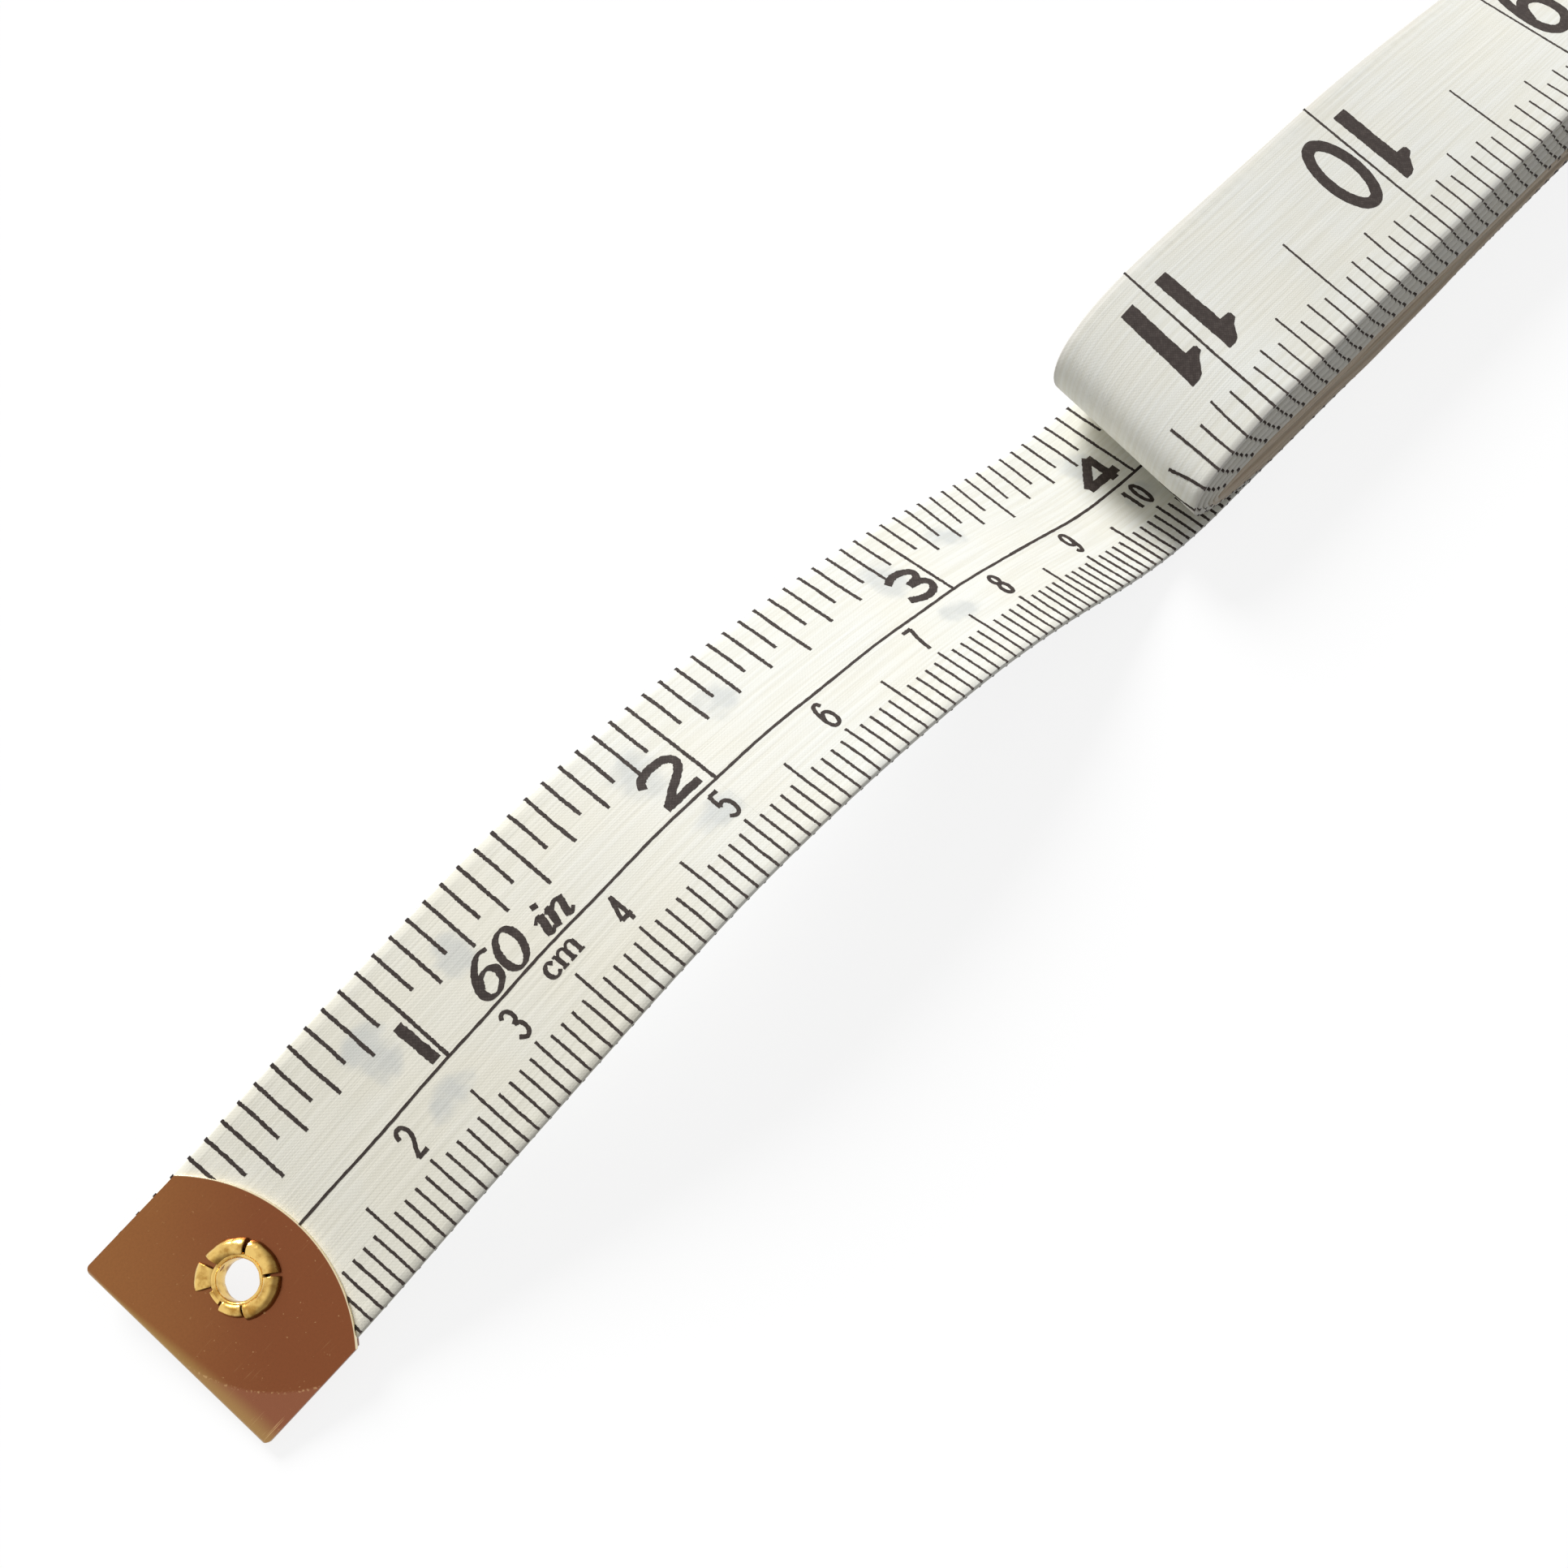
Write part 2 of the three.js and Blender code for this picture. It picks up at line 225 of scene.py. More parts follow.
class TapeLine:
    """The tape's whole course from its zero edge to the far end in the middle of the roll."""

    def __init__(self, width, thickness, length):
        self.half_width = width / 2
        self.half = thickness / 2
        rows = [self.tail()]
        for lap in range(LAPS):
            rows += self.lap(lap)
        points = np.vstack(rows)
        steps = np.hypot(*np.diff(points[:, :2], axis=0).T)
        keep = np.concatenate([[True], steps > 1e-6])
        points = points[keep]
        steps = np.hypot(*np.diff(points[:, :2], axis=0).T)
        self.s = np.concatenate([[0], np.cumsum(steps)])
        self.x, self.z, self.turn = points.T
        self.touchdown = float(self.s[self.landed])
        slope_x = np.gradient(self.x, self.s)
        slope_z = np.gradient(self.z, self.s)
        size = np.hypot(slope_x, slope_z)
        self.tx, self.tz = slope_x / size, slope_z / size
        self.end = min(length, float(self.s[-1]))

    def bottom(self, lap, x):
        return self.half + TABLE_GAP + layer_pitch(x, PITCH_UP) * lap

    def top(self, lap, x):
        height = ROLL_TOP - self.half - layer_pitch(x, PITCH_DOWN) * lap
        if lap < LAPS - 1:
            return height
        past_clip = smooth(x, *PITCH_SECOND)
        return CLIP_HEIGHT + (height - CLIP_HEIGHT) * past_clip

    def tail(self):
        """Tab, tail and the bottom run out to the right bend."""
        start = (0.0, START_HEIGHT)
        here = (TAB_HINGE * math.cos(TAB_PITCH), START_HEIGHT + TAB_HINGE * math.sin(TAB_PITCH))
        rows = [np.linspace(start, here, 49)]
        slope = math.radians(TAIL_SLOPE)
        landing = (TOUCHDOWN_X, float(self.bottom(0, TOUCHDOWN_X)), 0.0)
        for x, height, degrees in [*TAIL_KNOTS, landing]:
            reach = (x - here[0]) / 3
            next_slope = math.radians(degrees)
            leave = (here[0] + reach, here[1] + reach * math.tan(slope))
            arrive = (x - reach, height - reach * math.tan(next_slope))
            rows.append(cubic(here, leave, arrive, (x, height)))
            here, slope = (x, height), next_slope
        self.landed = sum(len(row) for row in rows) - 1
        rows.append(self.run(TOUCHDOWN_X, BEND_X, 0, self.bottom))
        path = np.vstack(rows)
        return np.column_stack([path, np.zeros(len(path))])

    def run(self, start, end, lap, height):
        x = np.linspace(start, end, max(2, int(abs(end - start) / RUN_STEP)) + 1)[1:]
        return np.column_stack([x, height(lap, x) * np.ones(len(x))])

    def lap(self, lap):
        """Right bend, top run, left curl and the next bottom run; the last lap ends in the clip."""
        low = float(self.bottom(lap, BEND_X))
        high = float(self.top(lap, BEND_X))
        angle = np.linspace(-math.pi / 2, math.pi / 2, BEND_POINTS)[1:]
        rows = [np.column_stack([
            BEND_X + (BEND_REACH - BEND_INSET * lap) * np.cos(angle),
            (low + high) / 2 + (high - low) / 2 * np.sin(angle),
            2 * lap + np.linspace(0, 1, BEND_POINTS)[1:],
        ])]
        last = lap == LAPS - 1
        run = self.run(BEND_X, CLIP_X if last else SHOULDER_X, lap, self.top)
        rows.append(np.column_stack([run, np.full(len(run), 2 * lap + 1.0)]))
        if last:
            return rows
        inset = LAP_INSET * lap
        share = lap / (LAPS - 1)
        shoulder = (SHOULDER_X, float(self.top(lap, SHOULDER_X)))
        landing = (LAND_X + LAND_SHARE * inset, float(self.bottom(lap + 1, LAND_X)))
        mouth = (CURL_X + inset, CURL_HEIGHT + (LAST_CURL_HEIGHT - CURL_HEIGHT) * share)
        upper = cubic(
            shoulder,
            (SHOULDER_X - SHOULDER_REACH + SHOULDER_SHARE * inset, shoulder[1]),
            (mouth[0], mouth[1] + UPPER_SHARE * (shoulder[1] - mouth[1])),
            mouth, CURL_STEP,
        )
        lower = cubic(
            mouth,
            (mouth[0], mouth[1] - LOWER_SHARE * (mouth[1] - landing[1])),
            (LAND_X - LAND_REACH + LAND_SHARE * inset, landing[1]),
            landing, CURL_STEP,
        )
        curl = np.vstack([upper, lower])
        curl_turn = 2 * lap + 1 + np.linspace(0, 1, len(curl) + 1)[1:]
        rows.append(np.column_stack([curl, curl_turn]))
        run = self.run(landing[0], BEND_X, lap + 1, self.bottom)
        rows.append(np.column_stack([run, np.full(len(run), 2 * lap + 2.0)]))
        return rows

    def slide(self, turn, x):
        """How far a layer stands out at the near side, in the roll."""
        reach = np.clip(SLIDE_AT + (x - SLIDE_X) * SLIDE_GROWTH, SLIDE_LEAST, SLIDE_MOST)
        layers = []
        for index in range(2 * LAPS):
            lap = index // 2
            if index % 2:
                amount = reach * SLIDE_TOP_SHARES[lap]
            else:
                amount = np.minimum(reach, SLIDE_BOTTOM * lap) * (0.5 if lap == LAPS - 1 else 1)
            if index > 1:
                amount = amount + WANDER * np.sin(x / WANDER_LENGTH + WANDER_PHASE * index)
            layers.append(amount)
        layers = np.array(layers)
        low = np.clip(np.floor(turn).astype(int), 0, 2 * LAPS - 1)
        high = np.clip(low + 1, 0, 2 * LAPS - 1)
        share = turn - low
        pick = np.arange(len(x))
        return layers[low, pick] * (1 - share) + layers[high, pick] * share

    def swell(self, s, v):
        """How much thicker the rubbed near selvedge of the inner turns is than the cloth."""
        inner = smooth(np.interp(s, self.s, self.turn), *INNER_TURNS)
        return 1 + SWELL_SHARE * inner * (np.asarray(v) < SELVEDGE - self.half_width)

    def place(self, s, v, n):
        """Points in metres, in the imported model's frame, for distances s along the tape, v across
        it and n off its middle towards the front face."""
        s, v, n = (np.asarray(a, float).ravel() for a in np.broadcast_arrays(s, v, n))
        x, z, tx, tz, turn = (
            np.interp(s, self.s, a) for a in (self.x, self.z, self.tx, self.tz, self.turn)
        )
        twist = TAB_ROLL + (FAR_TWIST - TAB_ROLL) * smooth(s, TAB_HINGE, FAR_TWIST_AT)
        twist *= 1 - smooth(s, FAR_TWIST_AT, self.touchdown)
        rolled = s > self.touchdown
        v = np.where(rolled, v - self.slide(turn, x), v)
        across = np.column_stack([-tz * np.sin(twist), np.cos(twist), tx * np.sin(twist)])
        ahead = np.column_stack([tx, np.zeros(len(s)), tz])
        up = np.cross(ahead, across)
        middle = np.column_stack([x, np.zeros(len(s)), z])
        p = middle + across * v[:, None] + up * n[:, None]
        px, py, pz = p.T
        near = 0.5 - py / (2 * self.half_width)
        loose = 1 - smooth(px, LOOSE_FROM, LOOSE_UNTIL)
        lift = np.maximum(pz - LOOSE_ABOVE, 0) * LOOSE_SHARE * (1 - near) * loose
        hump = HUMP_HEIGHT * np.exp(-(((px - HUMP_X) / HUMP_LENGTH) ** 2)) * near
        hump *= smooth(pz, *HUMP_ABOVE)
        skew = SKEW_SHARE * py * (1 - smooth(px, *SKEW_UNTIL)) * smooth(pz, *SKEW_ABOVE)
        px = px + np.where(rolled, skew, 0)
        pz = pz + np.where(rolled, lift + hump, 0)
        yaw = ROLL_YAW * smooth(s, YAW_FROM, YAW_UNTIL)
        dx = px - TOUCHDOWN_X
        px = TOUCHDOWN_X + dx * np.cos(yaw) - py * np.sin(yaw)
        py = dx * np.sin(yaw) + py * np.cos(yaw)
        return np.column_stack([px - FRAME_X, py - FRAME_Y, pz]) * MM

    def stations(self, start, end):
        """Distances along the tape that follow its bends closely and its runs loosely."""
        heading = np.unwrap(np.arctan2(self.tz, self.tx))
        bend = np.abs(np.gradient(heading, self.s))
        found = [start]
        while found[-1] < end:
            curve = np.interp(found[-1], self.s, bend)
            step = float(np.clip(BEND_PER_STEP / max(curve, 1e-6), LEAST_STEP, MOST_STEP))
            if any(low < found[-1] < high for low, high in HINGED):
                step = HINGE_STEP
            found.append(found[-1] + step)
        found = np.array(found)
        found = start + (found - start) * (end - start) / (found[-1] - start)
        return np.concatenate([[start, start + END_STEP], found[1:-1], [end - END_STEP, end]])


# Meshes and operators.

def deselect():
    for other in bpy.context.view_layer.objects:
        other.select_set(False)


def only(piece):
    deselect()
    piece.select_set(True)
    bpy.context.view_layer.objects.active = piece
    return piece


def in_edit(piece, mode="VERT"):
    only(piece)
    bpy.ops.object.mode_set(mode="EDIT")
    bpy.ops.mesh.select_mode(type=mode)
    bpy.ops.mesh.select_all(action="DESELECT")
    bpy.ops.object.mode_set(mode="OBJECT")


def select_where(piece, kind, test):
    """Selects, from object mode, the vertices or faces whose middle passes a test, or the edges
    whose two ends do."""
    mesh = piece.data
    for items in (mesh.vertices, mesh.edges, mesh.polygons):
        items.foreach_set("select", [False] * len(items))
    if kind == "VERT":
        picked = [vertex for vertex in mesh.vertices if test(vertex.co)]
    elif kind == "EDGE":
        passed = [test(vertex.co) for vertex in mesh.vertices]
        picked = [edge for edge in mesh.edges if all(passed[i] for i in edge.vertices)]
    else:
        picked = [face for face in mesh.polygons if test(face.center)]
    if not picked:
        raise RuntimeError(f"nothing to select on {piece.name}")
    for item in picked:
        item.select = True


def edit(piece, kind, test, work):
    """Runs mesh operators on the part of a piece that a test picks."""
    in_edit(piece, kind)
    select_where(piece, kind, test)
    bpy.ops.object.mode_set(mode="EDIT")
    work()
    bpy.ops.object.mode_set(mode="OBJECT")


def apply_modifier(piece, kind, **settings):
    only(piece)
    modifier = piece.modifiers.new(kind.title(), kind)
    for key, value in settings.items():
        setattr(modifier, key, value)
    bpy.ops.object.modifier_apply(modifier=modifier.name)


def boolean(piece, cutter, operation):
    apply_modifier(piece, "BOOLEAN", object=cutter, operation=operation, solver="EXACT")
    bpy.data.objects.remove(cutter)


def apply_place(piece):
    only(piece)
    bpy.ops.object.transform_apply(location=True, rotation=True, scale=True)


def added(name):
    piece = bpy.context.active_object
    piece.name = name
    piece.data.name = name
    return piece


def anywhere(place):
    return True


def merge_doubles(piece, threshold):
    """Merges doubled vertices, and turns the faces outwards."""
    def work():
        bpy.ops.mesh.remove_doubles(threshold=threshold)
        bpy.ops.mesh.normals_make_consistent(inside=False)

    edit(piece, "VERT", anywhere, work)


def round_cutter(name, x, radius, depth, sides):
    """An upright cylinder to cut with, at x, with its sizes in millimetres."""
    deselect()
    bpy.ops.mesh.primitive_cylinder_add(
        vertices=sides, radius=radius * MM, depth=depth * MM, location=(x * MM, 0, 0),
    )
    return added(name)


def cloth_mesh(name, points, faces, coordinates, material, flat_faces=()):
    """A mesh of the tape, with its distances along and across the tape as a UV map."""
    mesh = bpy.data.meshes.new(name)
    mesh.from_pydata(points.tolist(), [], faces)
    smooth_faces = np.ones(len(faces), bool)
    smooth_faces[list(flat_faces)] = False
    mesh.polygons.foreach_set("use_smooth", smooth_faces)
    corners = np.zeros(len(mesh.loops), int)
    mesh.loops.foreach_get("vertex_index", corners)
    layer = mesh.uv_layers.new(name="tape")
    layer.data.foreach_set("uv", np.asarray(coordinates, float)[corners].ravel())
    mesh.materials.append(material)
    mesh.update()
    piece = bpy.data.objects.new(name, mesh)
    bpy.context.scene.collection.objects.link(piece)
    return piece


def add_attribute(piece, name, values):
    attribute = piece.data.attributes.new(name, "FLOAT", "POINT")
    attribute.data.foreach_set("value", np.asarray(values, np.float32))


def ribbon(name, line, start, end, material):
    """A closed strip of the tape between two distances along it."""
    w, h = line.half_width, line.half
    round_in, round_down, hem = 0.09, 0.06, 0.7
    edges = [w - hem, w - round_in, w]
    across = np.array([-edge for edge in edges[::-1]] + [-5, -2.5, 0, 2.5, 5] + edges)
    height = np.full(len(across), h)
    height[[0, -1]] -= round_down
    height[3:-3] *= 0.97
    v = np.concatenate([across, across[::-1]])
    n = np.concatenate([-height, height[::-1]])
    stations = line.stations(start, end)
    ring, count = len(v), len(stations)
    s = np.repeat(stations, ring)
    n = np.tile(n, count) * line.swell(s, np.tile(v, count))
    points = line.place(s, np.tile(v, count), n)
    faces = []
    for i in range(count - 1):
        for k in range(ring):
            a, b = i * ring + k, i * ring + (k + 1) % ring
            faces.append((a, b, b + ring, a + ring))
    sides = len(faces)
    columns = len(across)
    last = (count - 1) * ring
    for k in range(columns - 1):
        faces.append((ring - 1 - k, ring - 2 - k, k + 1, k))
        faces.append((last + k, last + k + 1, last + ring - 2 - k, last + ring - 1 - k))
    uv = np.column_stack([s, np.tile(v, count)])
    piece = cloth_mesh(name, points, faces, uv, material, range(sides, len(faces)))
    at_edge = np.abs(np.tile(v, count)) > w - 0.3
    turn = np.interp(s, line.s, line.turn)
    inside = np.maximum(smooth(turn, *INNER_TURNS), smooth(-np.abs(turn - 8), -0.6, -0.3))
    in_roll = smooth(s, line.touchdown, line.touchdown + 60)
    # inner_edge marks the cut edges of the inner laps, which the cloth turns tan: partly their own
    # colour, partly painted shade.
    add_attribute(piece, "inner_edge", at_edge * inside)
    # outer_edge marks the edges of the outer laps in the roll, which the cloth turns greyer:
    # painted shade.
    add_attribute(piece, "outer_edge", at_edge * (1 - inside) * in_roll)
    add_attribute(piece, "front", n > 0)
    return piece


class Ink:
    """Marks printed on one face of the tape, each a thin slab with the ragged edge of ink that
    has run along the threads."""

    LIFT = 0.012
    SINK = 0.03
    WRAP_OUT = 0.008
    WRAP_IN = 0.06

    def __init__(self, line, face, seed):
        self.line = line
        self.face = face
        self.random = random.Random(seed)
        self.s, self.v, self.n, self.faces = [], [], [], []

    def add_slab(self, left, right, closed=False):
        """A slab between two rows of (s, v) points, the left row on the left of its course."""
        base = len(self.s)
        count = len(left)
        top = self.face * (self.line.half + self.LIFT)
        low = self.face * (self.line.half - self.SINK)
        for (ls, lv), (rs, rv) in zip(left, right):
            self.s += [ls, rs, rs, ls]
            self.v += [lv, rv, rv, lv]
            self.n += [top, top, low, low]
        quads = []
        for i in range(count if closed else count - 1):
            a, b = base + 4 * i, base + 4 * ((i + 1) % count)
            quads.append((a + 1, b + 1, b, a))
            quads.append((a + 3, b + 3, b + 2, a + 2))
            quads.append((a + 2, b + 2, b + 1, a + 1))
            quads.append((a, b, b + 3, a + 3))
        if not closed:
            end = base + 4 * (count - 1)
            quads.append((base, base + 3, base + 2, base + 1))
            quads.append((end + 1, end + 2, end + 3, end))
        if self.face < 0:
            quads = [quad[::-1] for quad in quads]
        self.faces += quads

    def stroke(self, path, width, ragged=0.14, step=0.2, stress=None, closed=False):
        """A stroke along a path of (s, v) points. With stress, a stroke is width thick where it
        runs up and down and stress times that where it runs sideways."""
        path = np.array(path, float)
        if closed:
            path = np.vstack([path, path[:1]])
        lengths = np.concatenate([[0], np.cumsum(np.hypot(*np.diff(path, axis=0).T))])
        count = max(2, int(round(lengths[-1] / step)) + 1)
        along = np.linspace(0, lengths[-1], count)
        dense = np.column_stack([np.interp(along, lengths, path[:, k]) for k in (0, 1)])
        if closed:
            dense = dense[:-1]
            ahead = np.roll(dense, -1, axis=0) - np.roll(dense, 1, axis=0)
        else:
            ahead = np.gradient(dense, axis=0)
        ahead /= np.linalg.norm(ahead, axis=1)[:, None] + 1e-12
        side = np.column_stack([-ahead[:, 1], ahead[:, 0]])
        half = np.full(len(dense), width / 2)
        if stress is not None:
            half *= stress + (1 - stress) * np.abs(ahead[:, 1]) ** 1.3
        left, right = [], []
        for p, q, h in zip(dense, side, half):
            a = h * (1 + ragged * self.random.uniform(-1, 1))
            b = h * (1 + ragged * self.random.uniform(-1, 1))
            left.append(tuple(p + q * a))
            right.append(tuple(p - q * b))
        self.add_slab(left, right, closed)

    def tick(self, s, edge, reach, width, lean=0.0):
        """A tick from an edge of the tape inwards."""
        sign = 1 if edge < 0 else -1
        wobble = self.random.uniform(-0.05, 0.05)
        end = edge + sign * reach
        middle = (s + lean * 0.5 + wobble, (edge + end) / 2)
        self.stroke([(s, edge - sign * 0.01), middle, (s + lean, end)], width, 0.26, 0.11)

    def wrap(self, s, edge, width, depth):
        """The end of a tick on the tape's cut edge."""
        outer = edge + math.copysign(self.WRAP_OUT, edge)
        inner = edge - math.copysign(self.WRAP_IN, edge)
        top = self.face * (self.line.half - self.SINK)
        low = self.face * (self.line.half - self.SINK - depth)
        base = len(self.s)
        for ds in (-width / 2, width / 2):
            for v in (outer, inner):
                self.s += [s + ds, s + ds]
                self.v += [v, v]
                self.n += [top, low]
        quads = [
            (base, base + 1, base + 5, base + 4), (base + 2, base + 6, base + 7, base + 3),
            (base, base + 4, base + 6, base + 2), (base + 1, base + 3, base + 7, base + 5),
            (base, base + 2, base + 3, base + 1), (base + 4, base + 5, base + 7, base + 6),
        ]
        if (edge < 0) == (self.face > 0):
            quads = [quad[::-1] for quad in quads]
        self.faces += quads

    def piece(self, name, material):
        n = np.array(self.n) * self.line.swell(self.s, self.v)
        points = self.line.place(self.s, self.v, n)
        piece = cloth_mesh(name, points, self.faces, np.column_stack([self.s, self.v]), material)
        for face in piece.data.polygons:
            face.use_smooth = False
        return piece


def bowed(points, steps=6):
    """A smooth line through a few points."""
    p = np.array(points, float)
    p = np.vstack([2 * p[0] - p[1], p, 2 * p[-1] - p[-2]])
    out = [p[1]]
    for i in range(1, len(p) - 2):
        for t in np.linspace(0, 1, steps + 1)[1:]:
            out.append(0.5 * (
                2 * p[i] + (p[i + 1] - p[i - 1]) * t
                + (2 * p[i - 1] - 5 * p[i] + 4 * p[i + 1] - p[i + 2]) * t**2
                + (3 * p[i] - p[i - 1] - 3 * p[i + 1] + p[i + 2]) * t**3
            ))
    return [tuple(q) for q in out]


def oval(cx, cy, rx, ry, steps=40):
    angles = [2 * math.pi * i / steps for i in range(steps)]
    return [(cx + rx * math.cos(a), cy + ry * math.sin(a)) for a in angles]


SIX = [
    (0.93, 0.85), (0.72, 0.99), (0.42, 0.98), (0.15, 0.8), (0.02, 0.5), (0.03, 0.2),
    (0.25, 0.02), (0.6, 0.0), (0.92, 0.12), (1.0, 0.33), (0.88, 0.53), (0.58, 0.62),
    (0.28, 0.56), (0.05, 0.36),
]

# Each numeral is a list of strokes in a box one wide and one high; the flag marks a closed one.
NUMERALS = {
    "0": [(oval(0.5, 0.5, 0.5, 0.5), True)],
    "1": [([(0.05, 0.76), (0.3, 0.84), (0.52, 1.0)], False), ([(0.55, 1.0), (0.55, 0.0)], False)],
    "2": [
        (bowed([(0.0, 0.74), (0.14, 0.93), (0.45, 1.0), (0.82, 0.95), (0.98, 0.75), (0.86, 0.53),
                (0.45, 0.27), (0.04, 0.0)]), False),
        ([(0.0, 0.0), (1.0, 0.0)], False),
    ],
    "3": [
        (bowed([(0.03, 0.87), (0.3, 0.99), (0.66, 0.98), (0.92, 0.82), (0.86, 0.62),
                (0.45, 0.52)]), False),
        (bowed([(0.45, 0.52), (0.84, 0.46), (1.0, 0.27), (0.84, 0.06), (0.45, 0.0),
                (0.0, 0.16)]), False),
    ],
    "4": [
        ([(0.74, 1.0), (0.0, 0.22)], False),
        ([(0.0, 0.22), (1.02, 0.22)], False),
        ([(0.76, 1.0), (0.76, 0.0)], False),
    ],
    "5": [
        ([(0.95, 1.0), (0.14, 1.0)], False),
        ([(0.14, 1.02), (0.08, 0.52)], False),
        (bowed([(0.08, 0.52), (0.45, 0.63), (0.86, 0.54), (1.0, 0.3), (0.84, 0.06), (0.42, 0.0),
                (0.0, 0.12)]), False),
    ],
    "6": [(bowed(SIX), False)],
    "7": [
        ([(0.0, 1.0), (1.02, 1.0)], False),
        (bowed([(0.97, 1.0), (0.6, 0.55), (0.4, 0.0)]), False),
    ],
    "8": [(oval(0.5, 0.765, 0.42, 0.235, 28), True), (oval(0.5, 0.27, 0.5, 0.27, 32), True)],
    "9": [(bowed([(1 - x, 1 - y) for x, y in SIX]), False)],
}


def numeral(ink, text, left, foot, width, height, weight, flip=1, ragged=0.1, step=0.2):
    """Prints one numeral in a box. With flip -1 it stands on the tape's far side."""
    inset = weight / 2
    for path, closed in NUMERALS[text]:
        placed = [
            (left + inset + x * (width - weight), foot + flip * (inset + y * (height - weight)))
            for x, y in path
        ]
        ink.stroke(placed, weight, ragged, step, closed=closed)


def slanted(points, left, foot, size, slant=0.0):
    """Points in letter units, placed at a size with a slant."""
    return [(left + (x + slant * y) * size, foot + y * size) for x, y in points]


def print_front(line, cut):
    """Inches along the far edge and millimetres along the near edge of the front face."""
    inner = Ink(line, 1, 11)
    outer = Ink(line, 1, 12)
    inch_shift, mm_shift = 0.28, -0.04
    for k in range(1, 76):
        s = k * SIXTEENTH + inch_shift
        front_inch_tick(outer if s < cut else inner, s, k % 16)
    for k in range(2, 118):
        s = k + mm_shift
        front_mm_tick(outer if s < cut else inner, s, k % 10)
    for ink, start, end, weight in (
        (outer, 11.0, cut, 0.2), (inner, cut, 84.0, 0.21), (inner, 83.95, 118.0, 0.25),
    ):
        steps = np.linspace(start, end, round((end - start) / 0.4) + 1)
        path = [(s, -0.4 + 0.035 * math.sin(s / 4.1) + 0.03 * math.sin(s / 1.7)) for s in steps]
        ink.stroke(path, weight, 0.16, 0.4)
    outer.stroke([(24.85, 3.5), (24.95, 0.05)], 0.78, 0.12, 0.13)
    for text, left, foot, width, height, weight, ragged, step in (
        ("2", 46.85, 0.05, 3.75, 3.6, 0.62, 0.12, 0.13),
        ("3", 72.45, 0.1, 3.55, 3.6, 0.62, 0.12, 0.13),
        ("4", 96.7, -0.15, 4.7, 3.9, 0.84, 0.08, 0.16),
    ):
        ink = outer if left < cut else inner
        numeral(ink, text, left, foot, width, height, weight, 1, ragged, step)
    foot, height = -3.5, 2.55
    for k in range(2, 12):
        ink = outer if 10 * k < cut else inner
        weight = 0.3 if k < 8 else 0.37
        digits = [(str(k), -0.6, 1.15)]
        if k >= 10:
            digits = [("1", -1.35, 0.75), (str(k - 10), -0.35, 1.15)]
        for digit, left, width in digits:
            numeral(ink, digit, 10 * k + left, foot, width, height, weight, 1, 0.18, 0.14)
    letters(outer)
    return outer, inner


def front_inch_tick(ink, s, sixteenth):
    """A tick of the inch scale. The inch lines run right across, and the ticks lean on the bend
    before the roll."""
    w = ink.line.half_width
    reach = {0: w + 0.35, 8: 5.5}.get(sixteenth, 4.7 if sixteenth % 2 == 0 else 3.6)
    lean = -0.55 * float(smooth(s, 76, 84) * (1 - smooth(s, 90, 99)))
    ink.tick(s, w, reach, 0.27, lean if sixteenth else 0.0)
    if s > TAB_SIDE:
        ink.wrap(s, w, 0.24, 0.09)


def front_mm_tick(ink, s, millimetre):
    """A tick of the centimetre scale, bolder towards the roll."""
    w = ink.line.half_width
    reach = {0: 4.0, 5: 5.05}.get(millimetre, 3.5)
    weight = 0.205 + 0.085 * float(smooth(s, 70, 90))
    lean = -0.3 * float(smooth(s, 80, 88) * (1 - smooth(s, 94, 100)))
    ink.tick(s, -w, reach, weight, lean)
    if s > TAB_SIDE:
        ink.wrap(s, -w, 0.18, 0.07)


